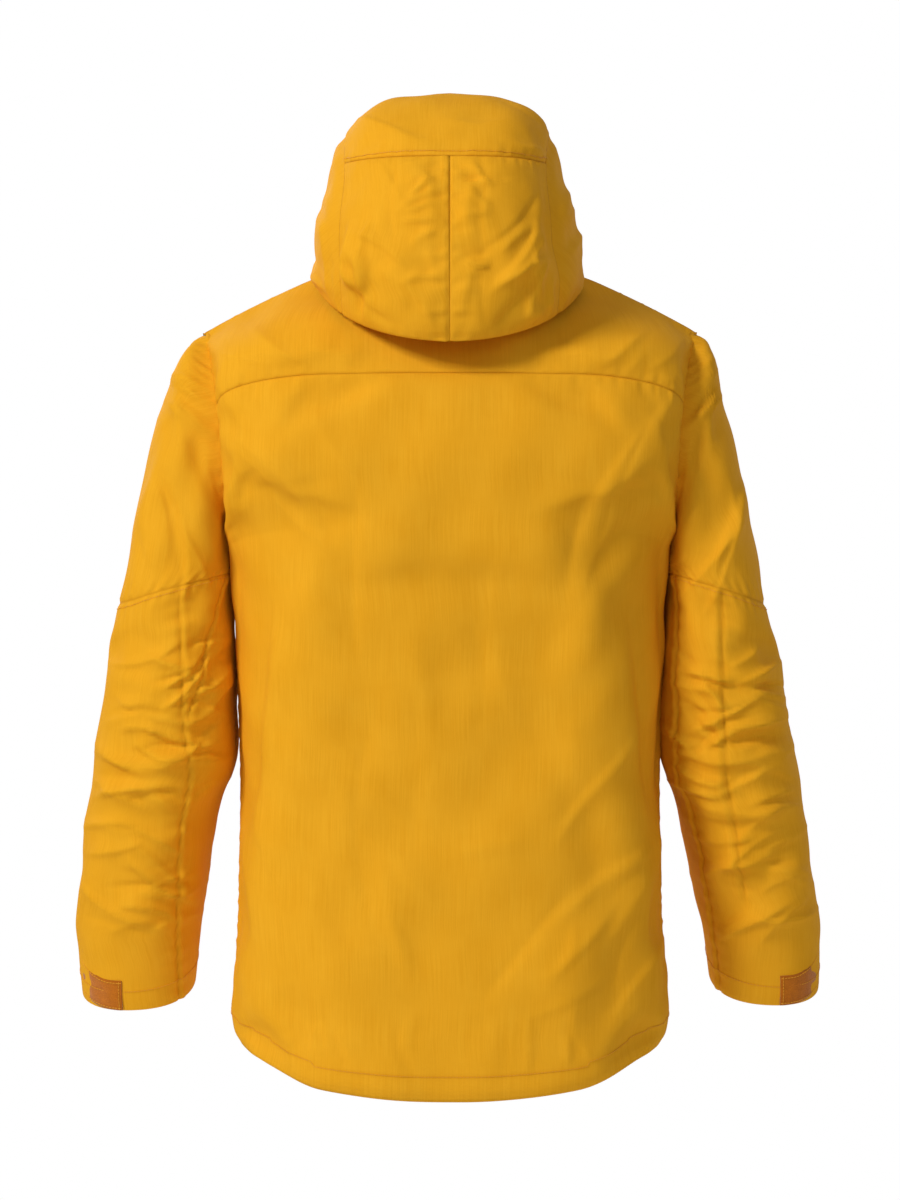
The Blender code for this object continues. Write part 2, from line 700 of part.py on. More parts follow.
def makeHood():
    seamTurn = seamGap / 0.0012
    seams = [(turn, crownSeamAngle(turn)) for turn in
             [sideSeamTurn + 12 * step for step in range(9)]]

    def seamAngle(turn):
        share = (turn - sideSeamTurn) / 12
        return spline([(angle, angle) for _, angle in seams], share).x

    def crown(across, along):
        turn = sideSeamTurn + seamTurn + (180 - 2 * (sideSeamTurn + seamTurn)) * across
        last = seamAngle(turn) - seamTurn
        return hoodRibPoint(turn, hoodBrimAngle + (last - hoodBrimAngle) * along)

    def back(across, along):
        turn = 90 + (sideSeamTurn + seamTurn - 90) * across
        start = seamAngle(turn) + seamTurn
        point = hoodRibPoint(turn, start + (hoodNapeAngle - start) * along)
        point.x += seamGap * (1 - across)
        return point

    hinge = (0, hoodPivotY, hoodPivotZ)
    crownStops = evenly(0.0, 1.0, 7)
    backStops = evenly(0.0, 1.0, 5)
    whole = hoodNapeAngle - hoodBrimAngle
    crownSpan = (seams[0][1] - hoodBrimAngle) / whole
    ribGap = 0.003
    frontStops = [(crownSpan - ribGap) * stop for stop in crownStops]
    rearStops = [crownSpan + ribGap + (1 - crownSpan - ribGap) * stop for stop in backStops]
    upStops = evenly(0.0, 1 - 4 * seamGap / 0.12, 5)
    for name, surface, acrossStops, alongStops, mirrored in (
            ("hood_crown", crown, evenly(0, 1, 10), crownStops, False),
            ("hood_back_left", back, evenly(0, 1, 5), backStops, False),
            ("hood_back_right", back, evenly(0, 1, 5), backStops, True),
            ("hood_side_left", hoodSidePoint, frontStops, upStops, False),
            ("hood_side_right", hoodSidePoint, frontStops, upStops, True),
            ("hood_nape_left", hoodSidePoint, rearStops, upStops, False),
            ("hood_nape_right", hoodSidePoint, rearStops, upStops, True)):
        mesh = patternSlab(len(acrossStops) - 1, len(alongStops) - 1)
        bend(mesh, surface, hoodCore, acrossStops, alongStops, 0.0, shellWall, mirrored)
        finish(name, mesh, "shell_fabric", hinge)
    mesh = patternSlab(26, 2)
    bend(mesh, hoodDrapePoint, lambda point: point - Vector((0, 0, 1)), (-0.985, 0.985),
         (0.0, 1.0), 0.0, 0.0018)
    finish("hood_neck_drape", mesh, "shell_fabric", hinge)
    for side, mirrored in (("left", False), ("right", True)):
        ring = spunRectangle(0.0025, 0.0050, 0.0016, 1, 12)
        normal = normalOf(hoodSidePoint, 0.06, 0.16, hoodCore)
        faceAlong(ring, hoodSidePoint(0.06, 0.16) + normal * seamGap * 2, normal)
        if mirrored:
            bmesh.ops.scale(ring, vec=(-1, 1, 1), verts=ring.verts[:])
        finish("hood_eyelet_" + side, ring, "eyelet_metal", hinge)


def makeSleeve(side, mirrored):
    shoulder = (0.215, 0.0, -0.110)
    elbow = (0.285, -0.018, -0.468)
    prefix = "sleeve_" + side + "_"
    sleeveTube(prefix + "head", "shell_fabric", (0.0, headRow), 2, 0.0, shellWall,
               mirrored, (0, 0, 0))
    sleeveTube(prefix + "cap", "shell_fabric", (headRow, ringSeamRow), 2, 0.0,
               shellWall, mirrored, shoulder)
    sleeveTube(prefix + "upper", "shell_fabric", (ringSeamRow, elbowTopRow), 2,
               0.0, shellWall, mirrored, shoulder)
    sleeveTube(prefix + "elbow", "shell_fabric", (elbowTopRow, elbowBottomRow), 2,
               0.0, shellWall, mirrored, elbow)
    sleeveTube(prefix + "forearm", "shell_fabric", (elbowBottomRow, cuffRow), 4, 0.0,
               shellWall, mirrored, elbow)
    sleeveTube("cuff_facing_" + side, "lining_fabric", (cuffRow - 0.75, cuffRow - 0.02), 1,
               shellWall + 0.0012, 0.0012, mirrored, elbow)

    def patch(turn, share):
        row = cuffRow - 0.92 + 0.80 * share + (0.35 * (1 - share) + 0.10 * share) * smooth(
            (turn - 0.02) / 0.16)
        return sleevePoint(turn, row)

    def tab(turn, share):
        return sleevePoint(turn, cuffRow - 0.90 + 0.66 * share)

    mesh = patternSlab(5, 1)
    bend(mesh, patch, sleeveCore(cuffRow - 0.5), (-0.035, 0.172), (0, 1), -cuffGap - 0.0012,
         0.0012, mirrored)
    finish("cuff_loop_patch_" + side, mesh, "loop_pile", mirroredPoint(elbow, mirrored))
    mesh = patternSlab(8, 1)
    bend(mesh, tab, sleeveCore(cuffRow - 0.5), (-0.300, 0.004), (0, 1),
         -cuffGap * 2 - 0.0012 - tabWall, tabWall, mirrored)
    hinge = tab(-0.300, 0.5)
    finish("cuff_tab_" + side, mesh, "tab_rubber", mirroredPoint(hinge, mirrored))


def makeMainZip():
    top = Vector((0, frontLineY(zipTopZ), zipTopZ))
    bottom = Vector((0, frontLineY(zipBottomZ), zipBottomZ))
    for side, hand in (("left", 1), ("right", -1)):
        inner = 0.0008
        outer = zipHalfWidth - 0.0010
        outline = [(inner, -zipBeadHeight), (zipBeadHalfWidth, -zipBeadHeight),
                   (zipBeadHalfWidth, 0.0), (outer, 0.0), (outer, zipTapeWall),
                   (inner, zipTapeWall)]
        mesh = extrudedProfile([(x * hand, y) for x, y in outline], bottom, top)
        finish("zip_tape_" + side, mesh, "zip_tape", shade=False)
    flapTop = top + Vector((0, 0, -0.004))
    outline = [(-0.018, 0.0060), (0.020, 0.0060), (0.020, 0.0075), (-0.018, 0.0075)]
    finish("wind_flap", extrudedProfile(outline, bottom, flapTop), "lining_fabric", shade=False)
    stop = boxMesh((-0.0052, bottom.y - 0.0034, bottom.z - 0.0065),
                   (0.0052, bottom.y + 0.0014, bottom.z - 0.0005))
    finish("zip_stop", stop, "slider_metal", shade=False)
    makeMainSlider(top, (bottom - top).normalized())


def makeMainSlider(top, down):
    """Channel round both coils, a rib on it, and a forked puller that straddles the rib."""
    start = top + down * 0.004
    end = start + down * sliderLength
    half = zipBeadHalfWidth + sliderClearance
    outside = half + sliderWall
    back = -sliderClearance
    inside = -zipBeadHeight - sliderClearance
    front = inside - sliderWall
    outline = [(-outside, front), (outside, front), (outside, back), (half, back),
               (half, inside), (-half, inside), (-half, back), (-outside, back)]
    slider = finish("main_slider", extrudedProfile(outline, start, end), "slider_metal",
                    shade=False)
    ribFront = front - 0.0040
    rib = extrudedProfile([(-0.001, ribFront), (0.001, ribFront), (0.001, front + 0.0005),
                           (-0.001, front + 0.0005)],
                          start + down * 0.002, start + down * 0.009)
    unite(slider, finish("slider_rib", rib, "slider_metal", shade=False))
    pivot = start + down * 0.005 + Vector((0, front - 0.0024, 0))
    slot = 0.0017
    wide = pullerWidth / 2
    outline = [(slot, 0.0015), (wide, 0.0015), (wide, -pullerLength), (-wide, -pullerLength),
               (-wide, 0.0015), (-slot, 0.0015), (-slot, -0.009), (slot, -0.009)]
    mesh = extrudedProfile(outline, (0, 0, -pullerWall / 2), (0, 0, pullerWall / 2))
    bmesh.ops.rotate(mesh, cent=(0, 0, 0), matrix=Matrix.Rotation(math.pi / 2, 3, "X"),
                     verts=mesh.verts[:])
    bmesh.ops.translate(mesh, vec=pivot, verts=mesh.verts[:])
    finish("main_puller", mesh, "pull_rubber", pivot, shade=False)


def pocketFrame(mirrored):
    """Top point, down direction, outward normal and sideways direction of a hand pocket's zip."""
    top = frontPoint(0.46, 3.50)
    low = frontPoint(0.60, 1.75)
    down = (low - top).normalized()
    normal = normalOf(frontPoint, 0.53, 2.6, torsoCore)
    normal = (normal - down * normal.dot(down)).normalized()
    if mirrored:
        top.x, down.x, normal.x = -top.x, -down.x, -normal.x
    return top, down, normal, down.cross(normal)


def makePocket(side, mirrored):
    top, down, normal, sideways = pocketFrame(mirrored)
    lift = 0.0045
    frame = Matrix((sideways, normal, down)).transposed()
    half = pocketZipWidth / 2
    outline = [(-half, 0.0), (half, 0.0), (half, 0.0012), (0.002, 0.0012), (0.002, 0.0026),
               (-0.002, 0.0026), (-0.002, 0.0012), (-half, 0.0012)]

    def place(mesh):
        bmesh.ops.rotate(mesh, cent=(0, 0, 0), matrix=frame, verts=mesh.verts[:])
        bmesh.ops.translate(mesh, vec=top + normal * lift, verts=mesh.verts[:])
        return mesh

    strip = extrudedProfile(outline, (0, 0, 0), (0, 0, pocketZipLength))
    finish("pocket_zip_" + side, place(strip), "zip_tape", shade=False)
    channel = [(-0.0040, 0.0044), (0.0040, 0.0044), (0.0040, 0.0016), (0.0026, 0.0016),
               (0.0026, 0.0030), (-0.0026, 0.0030), (-0.0026, 0.0016), (-0.0040, 0.0016)]
    slider = finish("pocket_slider_" + side,
                    place(extrudedProfile(channel, (0, 0, 0.004), (0, 0, 0.015))),
                    "slider_metal", shade=False)
    tab = boxMesh((-0.003, 0.0038, 0.012), (0.003, 0.0056, 0.044))
    unite(slider, finish("pocket_pull_" + side, place(tab), "slider_metal", shade=False))


def makeSmallTrim():
    for side, mirrored in (("left", False), ("right", True)):
        ring = spunRectangle(0.0025, 0.0050, 0.0016, 1, 12)
        normal = normalOf(frontPoint, 0.90, 0.22, torsoCore)
        faceAlong(ring, frontPoint(0.90, 0.22) - normal * (shellWall + 0.0085), normal)
        if mirrored:
            bmesh.ops.scale(ring, vec=(-1, 1, 1), verts=ring.verts[:])
        finish("hem_eyelet_" + side, ring, "eyelet_metal")
        snap = bmesh.new()
        bmesh.ops.create_cone(snap, cap_ends=True, segments=12, radius1=0.006, radius2=0.005,
                              depth=0.0024)
        turn = 0.92 if mirrored is False else -0.92
        normal = normalOf(torsoRing, turn, 1.6, torsoCore)
        faceAlong(snap, torsoRing(turn, 1.6) - normal * 0.0180, normal)
        finish("skirt_snap_" + side, snap, "eyelet_metal")


def main():
    for existing in list(bpy.data.objects):
        bpy.data.objects.remove(existing, do_unlink=True)
    makeMaterials()
    makeTorso()
    makeCollarAndNeck()
    makeHood()
    makeMainZip()
    for side, mirrored in (("left", False), ("right", True)):
        makeSleeve(side, mirrored)
        makePocket(side, mirrored)
    makeSmallTrim()


main()
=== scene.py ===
# Ski jacket, hung with its hood up: cloth, seams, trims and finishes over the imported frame.
import math
from functools import partial

import bmesh
import bpy
import numpy as np
from mathutils import Matrix, Vector


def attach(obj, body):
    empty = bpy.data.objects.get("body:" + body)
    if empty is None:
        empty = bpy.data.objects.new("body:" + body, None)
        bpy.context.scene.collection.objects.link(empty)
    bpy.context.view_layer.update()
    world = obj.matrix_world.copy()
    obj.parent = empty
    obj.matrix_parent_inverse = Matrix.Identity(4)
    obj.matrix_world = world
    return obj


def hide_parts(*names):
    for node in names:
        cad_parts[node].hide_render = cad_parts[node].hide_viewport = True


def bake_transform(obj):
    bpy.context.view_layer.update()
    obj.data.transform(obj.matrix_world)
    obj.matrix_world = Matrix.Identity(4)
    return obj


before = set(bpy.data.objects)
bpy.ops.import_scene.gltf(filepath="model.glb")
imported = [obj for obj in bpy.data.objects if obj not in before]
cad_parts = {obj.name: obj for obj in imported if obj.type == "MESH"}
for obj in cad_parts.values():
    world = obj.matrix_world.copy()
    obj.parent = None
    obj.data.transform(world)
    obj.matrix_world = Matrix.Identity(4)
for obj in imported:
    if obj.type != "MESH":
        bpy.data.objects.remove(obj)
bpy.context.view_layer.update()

# The jacket's own shape, in metres from the underside of the hanger loop. Its sections are
# measured from the plane of the arms, which lies armPlaneY from the loop
jacket = {
    "armPlaneY": -0.045,
    "shellWall": 0.0016,
    "liningDepth": 0.0085,
    "shoulderTip": (0.2465, -0.047),
    "neckHalfWidth": 0.090,
    "neckSideZ": 0.027,
    "neckBackY": 0.055,
    "zipHalfWidth": 0.0125,
    "frontTop": (-0.105, 0.075),      # y, z of the straight front line
    "frontBottom": (-0.145, -0.750),
    "hoodPivot": (-0.020, 0.030),
    "brimAngle": 35.0,
    "napeAngle": 208.0,
    "hoodPoleHalfWidth": 0.127,
    "crownSeamZ": 0.114,
    "sideSeamTurn": 42.0,
    "hemRound": 0.10,
    "dome": (0.1963, 0.155, 0.006),   # top, radius and blend of the crown's dome
}
yokeRow, ridgeRow, armpitRow = 9.0, 11.0, 6
ringRow, splitRow, cuffRow = 4.0, 6.0, 11.0
bothSides = (("left", False), ("right", True))

backRows = [  # side z, centre z, half width, side y, back y, squareness
    (-0.751, -0.790, 0.2125, -0.005, 0.150, 2.7),
    (-0.680, -0.700, 0.2120, -0.005, 0.143, 2.7),
    (-0.600, -0.610, 0.2090, -0.004, 0.136, 2.7),
    (-0.500, -0.500, 0.2075, -0.002, 0.130, 2.7),
    (-0.400, -0.395, 0.2100, 0.000, 0.132, 2.7),
    (-0.320, -0.305, 0.2115, 0.002, 0.138, 2.7),
    (-0.262, -0.242, 0.2145, 0.006, 0.142, 2.7),
    (-0.230, -0.200, 0.2200, 0.040, 0.142, 3.0),
    (-0.185, -0.155, 0.2235, 0.060, 0.139, 3.0),
    (-0.122, -0.092, 0.2280, 0.060, 0.125, 3.0),
    (-0.085, -0.055, 0.2350, 0.043, 0.107, 2.6),
]
frontRows = [  # side z, centre z, half width, side y, squareness
    (-0.751, -0.750, 0.2125, -0.005, 2.5),
    (-0.680, -0.680, 0.2120, -0.005, 2.5),
    (-0.600, -0.600, 0.2090, -0.004, 2.5),
    (-0.500, -0.500, 0.2075, -0.002, 2.5),
    (-0.400, -0.400, 0.2100, 0.000, 2.5),
    (-0.320, -0.310, 0.2115, 0.002, 2.5),
    (-0.262, -0.250, 0.2145, 0.006, 2.5),
    (-0.230, -0.196, 0.2195, -0.030, 2.5),
    (-0.185, -0.145, 0.2225, -0.050, 2.5),
    (-0.122, -0.080, 0.2265, -0.052, 2.5),
]
collarBone = [(0.062, -0.090, -0.043), (0.2345, -0.036, -0.085)]
sleeveRows = [  # outer x, outer z, inner x, inner z, centre y, half depth, pitch
    (0.2680, -0.064, 0.2172, -0.2670, 0.004, 0.062, 0.0),
    (0.2870, -0.118, 0.2168, -0.2720, 0.004, 0.066, 0.0),
    (0.3060, -0.198, 0.2166, -0.2780, 0.002, 0.069, 0.0),
    (0.3290, -0.315, 0.2165, -0.2840, 0.000, 0.070, 0.0),
    (0.3390, -0.365, 0.2150, -0.3450, -0.003, 0.070, 2.0),
    (0.3475, -0.420, 0.2145, -0.4150, -0.009, 0.070, 5.0),
    (0.3560, -0.475, 0.2170, -0.4680, -0.018, 0.069, 9.0),
    (0.3625, -0.528, 0.2300, -0.5150, -0.030, 0.068, 13.0),
    (0.3685, -0.590, 0.2390, -0.5800, -0.045, 0.066, 17.0),
    (0.3725, -0.650, 0.2500, -0.6400, -0.060, 0.064, 21.0),
    (0.3695, -0.700, 0.2560, -0.6920, -0.072, 0.062, 24.0),
]
hoodRibs = [  # angle, radius, half width, squareness
    (-50.0, 0.135, 0.090, 3.2),
    (-20.0, 0.145, 0.098, 3.2),
    (0.0, 0.150, 0.104, 3.2),
    (30.0, 0.160, 0.113, 3.2),
    (60.0, 0.163, 0.119, 3.2),
    (90.0, 0.163, 0.121, 3.2),
    (120.0, 0.170, 0.126, 3.2),
    (150.0, 0.182, 0.131, 2.9),
    (180.0, 0.193, 0.136, 2.5),
    (208.0, 0.203, 0.139, 2.1),
    (240.0, 0.185, 0.130, 2.4),
    (275.0, 0.155, 0.110, 2.9),
    (310.0, 0.135, 0.090, 3.2),
]
hoodLowerEdge = [  # share of the way from chin to nape, y, z
    (0.00, -0.112, -0.045),
    (0.25, -0.060, 0.000),
    (0.50, -0.022, 0.022),
    (0.68, -0.004, 0.034),
    (0.84, 0.012, 0.014),
    (1.00, 0.042, -0.003),
]
collarTopZ = [0.064, 0.070, 0.076, 0.084, 0.088, 0.080, 0.070, 0.064]
neckSideShare = 0.57


# Smooth curves through rows of points, for many points at once

def splineThrough(rows, at):
    rows = np.asarray(rows, float)
    at = np.asarray(at, float).ravel()
    if rows.ndim == 1:
        rows = rows[:, None, None]
    if rows.ndim == 2:
        rows = rows[:, None, :]
    if rows.shape[1] == 1:
        rows = np.repeat(rows, len(at), axis=1)
    last = len(rows) - 1
    index = np.clip(np.floor(at).astype(int), 0, last - 1)
    pick = np.arange(len(at))
    share = (at - index)[:, None]
    here = rows[index, pick]
    after = rows[index + 1, pick]
    before = np.where((index > 0)[:, None], rows[np.maximum(index - 1, 0), pick], here * 2 - after)
    beyond = np.where((index + 2 <= last)[:, None], rows[np.minimum(index + 2, last), pick],
                      after * 2 - here)
    leave, arrive = (after - before) / 2, (beyond - here) / 2
    square, cube = share ** 2, share ** 3
    return (here * (2 * cube - 3 * square + 1) + leave * (cube - 2 * square + share)
            + after * (3 * square - 2 * cube) + arrive * (cube - square))


def smooth(value):
    value = np.clip(value, 0.0, 1.0)
    return value * value * (3 - 2 * value)


def power(value, squareness):
    return np.sign(value) * np.abs(value) ** (2 / squareness)


def cornerShift(values, at):
    cornered = np.where(at <= armpitRow, splineThrough(values[:armpitRow + 1], at)[:, 0],
                        splineThrough(values[armpitRow:], at - armpitRow)[:, 0])
    return cornered - splineThrough(values, at)[:, 0]


def frontLineY(z):
    (topY, topZ), (lowY, lowZ) = jacket["frontTop"], jacket["frontBottom"]
    return topY + (lowY - topY) * (topZ - z) / (topZ - lowZ)


def shoulderLine(x):
    half, side = jacket["neckHalfWidth"], jacket["neckSideZ"]
    tipX, tipZ = jacket["shoulderTip"]
    reach = np.abs(x)
    share = (reach - half) / (tipX - half)
    arch = np.sqrt(np.clip(1 - (reach / half) ** 2, 0, 1))
    beyond = reach >= half
    y = np.where(beyond, 0.008 * (1 - share), 0.008 + (jacket["neckBackY"] - 0.008) * arch)
    slope = side - (side - tipZ) * (0.89 * share + 0.11 * share ** 3)
    z = np.where(beyond, slope, side * (1 - arch))
    return np.stack([x, y, z], -1)


def backRow(across, index):
    angle = across * np.pi / 2
    if index >= len(backRows):
        return shoulderLine(jacket["shoulderTip"][0] * power(np.sin(angle), 2.6))
    sideZ, centreZ, halfWidth, sideY, backY, squareness = backRows[index]
    bend = jacket["hemRound"]
    rise = (np.hypot(across, bend) - bend) / (math.hypot(1, bend) - bend)
    fall = 1 - (rise if index == 0 else across ** 2)
    return np.stack([halfWidth * power(np.sin(angle), squareness),
                     sideY + (backY - sideY) * power(np.cos(angle), squareness),
                     sideZ + (centreZ - sideZ) * fall], -1)


def backSurface(across, row):
    rows = [backRow(across, index) for index in range(len(backRows) + 1)]
    point = splineThrough(np.stack(rows), row)
    side = 1 - power(np.cos(np.minimum(np.abs(across), 1.0) * np.pi / 2), 2.7)
    point[:, 1] += side * cornerShift([values[3] for values in backRows], np.minimum(row, yokeRow))
    return point


def frontRow(across, index):
    if index > len(frontRows):
        half, tipX = jacket["neckHalfWidth"], jacket["shoulderTip"][0]
        return shoulderLine(half + (tipX - half) * across)
    if index == len(frontRows):
        start, end = np.array(collarBone[0]), np.array(collarBone[1])
        point = start + (end - start) * across[:, None]
        point[:, 1] -= 0.012 * np.sin(np.pi * across)
        return point
    sideZ, centreZ, halfWidth, sideY, squareness = frontRows[index]
    angle = across * np.pi / 2
    z = sideZ + (centreZ - sideZ) * (1 - across ** 2)
    half = jacket["zipHalfWidth"]
    return np.stack([half + (halfWidth - half) * power(np.sin(angle), squareness),
                     sideY + (frontLineY(z) - sideY) * power(np.cos(angle), squareness), z], -1)


def frontSurface(across, row):
    across = np.clip(across, 0.0, None)
    rows = np.stack([frontRow(across, index) for index in range(len(frontRows) + 2)])
    neckRow = len(frontRows) - 1
    low = splineThrough(rows[:neckRow + 1], row)
    high = splineThrough(rows[neckRow:], row - neckRow)
    cornered = np.where((row <= neckRow)[:, None], low, high)
    blend = smooth(across * 4)[:, None]
    point = cornered * (1 - blend) + splineThrough(rows, row) * blend
    side = 1 - power(np.cos(np.minimum(across, 1.0) * np.pi / 2), 2.5)
    point[:, 1] += side * cornerShift([values[3] for values in frontRows], np.minimum(row, yokeRow))
    return point


def torsoSurface(turn, row):
    back = backSurface(np.clip(turn * 2, -1, 1), row)
    front = frontSurface(2 - 2 * np.maximum(np.abs(turn), 0.5), row)
    front[:, 0] *= np.where(turn < 0, -1, 1)
    return np.where((np.abs(turn) <= 0.5)[:, None], back, front)


one = np.array([1.0])
armhole = np.concatenate(
    [backRow(one, index) for index in range(len(backRows), armpitRow - 1, -1)]
    + [frontRow(one, index) for index in range(armpitRow + 1, len(frontRows) + 1)])


def sleeveRing(turn, index):
    if index == 0:
        count = len(armhole)
        wrapped = np.stack([armhole[item % count] for item in range(-1, count + 3)])
        point = splineThrough(wrapped, 1 + (turn % 1.0) * count)
        point[:, 0] += 0.0016
        return point
    outerX, outerZ, innerX, innerZ, centreY, halfDepth, pitch = sleeveRows[index - 1]
    outer = np.array([outerX, centreY, outerZ])
    inner = np.array([innerX, centreY, innerZ])
    tilt = math.radians(pitch)
    deep = np.array([0, math.cos(tilt), -math.sin(tilt)]) * halfDepth
    angle = turn * 2 * np.pi
    return ((outer + inner) / 2 + (outer - inner) / 2 * power(np.cos(angle), 2.15)[:, None]
            + deep * power(np.sin(angle), 2.15)[:, None])


def sleeveSurface(turn, row):
    rows = [sleeveRing(turn, index) for index in range(len(sleeveRows) + 1)]
    return splineThrough(np.stack(rows), row)


def ribAt(degrees):
    first = hoodRibs[0][0]
    angle = (degrees - first) % 360 + first
    at = np.interp(angle, [rib[0] for rib in hoodRibs], np.arange(len(hoodRibs)))
    found = splineThrough([rib[1:] for rib in hoodRibs], at)
    return found[:, 0], found[:, 1], found[:, 2]


def hoodWidth(halfWidth, reach):
    pole = jacket["hoodPoleHalfWidth"]
    return pole + (halfWidth - pole) * smooth(reach / 0.060)


def hoodRib(turnDegrees, angleDegrees):
    pivotY, pivotZ = jacket["hoodPivot"]
    radius, halfWidth, squareness = ribAt(angleDegrees)
    turn, angle = np.radians(turnDegrees), np.radians(angleDegrees)
    reach = radius * power(np.sin(turn), squareness)
    x = hoodWidth(halfWidth, reach) * power(np.cos(turn), squareness)
    z = pivotZ + reach * np.sin(angle)
    top, domeRadius, blend = jacket["dome"]
    above = z - (top - domeRadius + np.sqrt(domeRadius ** 2 - x ** 2))
    y = pivotY - reach * np.cos(angle)
    return np.stack([x, y, z - (above + np.hypot(above, blend)) / 2], -1)


def crownSeamAngle(turnDegrees):
    low, high = np.full(len(turnDegrees), 100.0), np.full(len(turnDegrees), 200.0)
    for _ in range(24):
        middle = (low + high) / 2
        above = hoodRib(turnDegrees, middle)[:, 2] > jacket["crownSeamZ"]
        low, high = np.where(above, middle, low), np.where(above, high, middle)
    return (low + high) / 2


def crownSurface(across, along):
    turn = jacket["sideSeamTurn"] + (180 - 2 * jacket["sideSeamTurn"]) * across
    last = crownSeamAngle(turn)
    return hoodRib(turn, jacket["brimAngle"] + (last - jacket["brimAngle"]) * along)


def hoodBackSurface(across, along):
    turn = 90 + (jacket["sideSeamTurn"] - 90) * across
    start = crownSeamAngle(turn)
    return hoodRib(turn, start + (jacket["napeAngle"] - start) * along)


def hoodSideSurface(around, up):
    brim, nape = jacket["brimAngle"], jacket["napeAngle"]
    pivotY, pivotZ = jacket["hoodPivot"]
    seam = hoodRib(np.full(len(around), jacket["sideSeamTurn"]), brim + (nape - brim) * around)
    at = np.interp(around, [edge[0] for edge in hoodLowerEdge], np.arange(len(hoodLowerEdge)))
    low = splineThrough([edge[1:] for edge in hoodLowerEdge], at)
    y = low[:, 0] + (seam[:, 1] - low[:, 0]) * up
    z = low[:, 1] + (seam[:, 2] - low[:, 1]) * up
    forward, upward = pivotY - y, z - pivotZ
    reach = np.hypot(forward, upward)
    radius, halfWidth, squareness = ribAt(np.degrees(np.arctan2(upward, forward)))
    inward = np.minimum(reach / radius, 0.999)
    width = hoodWidth(halfWidth, reach) * (1 - inward ** squareness) ** (1 / squareness)
    share = smooth((up - 0.9) / 0.1)
    return np.stack([width + (seam[:, 0] - width) * share, y, z], -1)


def necklineAt(around):
    reach = 1 - np.abs(around)
    neckRow = len(frontRows) - 1
    front = frontSurface(np.zeros(len(around)),
                         neckRow + (ridgeRow - neckRow) * np.minimum(reach / neckSideShare, 1.0))
    turn = np.clip((reach - neckSideShare) / (1 - neckSideShare), 0, 1) * np.pi / 2
    back = shoulderLine(jacket["neckHalfWidth"] * np.cos(turn) * 0.99999)
    point = np.where((reach < neckSideShare)[:, None], front, back)
    point[:, 0] *= np.where(around > 0, -1, 1)
    return point


def collarSurface(around, up):
    low = necklineAt(around)
    low[:, 2] += 0.004
    top = splineThrough(collarTopZ, (1 - np.abs(around)) * (len(collarTopZ) - 1))[:, 0]
    inset = 1 - 0.06 * up * smooth((1 - np.abs(around)) * 6)
    z = low[:, 2] + (top - low[:, 2]) * up
    y = low[:, 1] * inset
    y = y + (frontLineY(z) - y) * smooth((np.abs(around) - 0.86) / 0.10)
    return np.stack([low[:, 0] * inset, y, z], -1)


def drapeSurface(around, out):
    low = necklineAt(around)
    flat = low * np.array([1, 1, 0])
    low = low + flat / np.linalg.norm(flat, axis=1)[:, None] * 0.005
    low[:, 2] += 0.006
    reach = 1 - np.abs(around)
    napeShare = 0.80
    side = np.where(reach < neckSideShare, 0.5 * reach / neckSideShare,
                    0.5 + 0.5 * (reach - neckSideShare) / (napeShare - neckSideShare))
    edge = hoodSideSurface(np.clip(side, 0, 1), np.zeros(len(around)))
    end = hoodSideSurface(np.array([1.0]), np.array([0.0]))[0]
    radius, _, squareness = ribAt(np.array([jacket["napeAngle"]]))
    reachEnd = math.hypot(end[1] - jacket["hoodPivot"][0], end[2] - jacket["hoodPivot"][1])
    first = math.degrees(math.asin(min(1.0, (reachEnd / radius[0]) ** (squareness[0] / 2))))
    turn = np.clip((reach - napeShare) / (1 - napeShare), 0, 1)
    nape = hoodRib(first + (90 - first) * turn, np.full(len(around), jacket["napeAngle"]))
    edge = np.where((reach < napeShare)[:, None], edge, nape)
    edge[:, 0] *= np.where(around > 0, -1, 1)
    inward = edge * np.array([1, 1, 0]) - np.array([0, jacket["hoodPivot"][0], 0])
    edge = edge - inward / np.linalg.norm(inward, axis=1)[:, None] * 0.006
    edge[:, 2] += 0.003
    point = low + (edge - low) * out[:, None]
    point[:, 2] += 0.004 * np.sin(np.pi * out)
    return point


# A hung jacket isn't quite even from side to side: how far each place has moved, as z, metres
hang = {
    "leftOuter": ((-0.05, -0.006), (-0.13, 0.007), (-0.24, 0.006), (-0.31, 0.001), (-0.37, -0.006),
                  (-0.50, -0.006), (-0.60, 0.002), (-0.70, 0.003)),
    "leftInner": ((-0.26, 0.0), (-0.42, -0.003), (-0.49, -0.010), (-0.53, -0.004),
                  (-0.60, 0.000), (-0.70, 0.001)),
    "rightOuter": ((-0.05, 0.007), (-0.10, 0.008), (-0.17, 0.011), (-0.30, 0.015), (-0.37, 0.017),
                   (-0.45, 0.015), (-0.52, 0.013), (-0.60, 0.005), (-0.65, 0.000), (-0.70, -0.004)),
    "rightInner": ((-0.26, 0.0), (-0.42, 0.006), (-0.49, 0.009), (-0.53, 0.007), (-0.60, -0.003),
                   (-0.70, -0.006)),
    "leftDrop": 0.006,         # how much lower each cuff hangs
    "rightDrop": 0.001,
    "shoulderLeft": 0.003,     # how much higher each shoulder's slope lies
    "shoulderRight": 0.004,
    "waistOut": 0.0028,        # the body's sides, out below the chest
    "hoodRight": 0.009,        # the hood's right side, in
    "hoodWaist": 0.004,        # both of its sides, in at waistZ
    "waistZ": 0.100,
    "hemLift": 0.014,          # the hem's corners, up and in
    "hemIn": 0.004,
    "armholeLift": 0.006,      # the ridge along the armhole seam
    "armholeX": 0.228,
    "ridgeWidth": 0.022,
}


def readHang(name, z):
    pairs = sorted(hang[name])
    return np.interp(z, [pair[0] for pair in pairs], [pair[1] for pair in pairs])


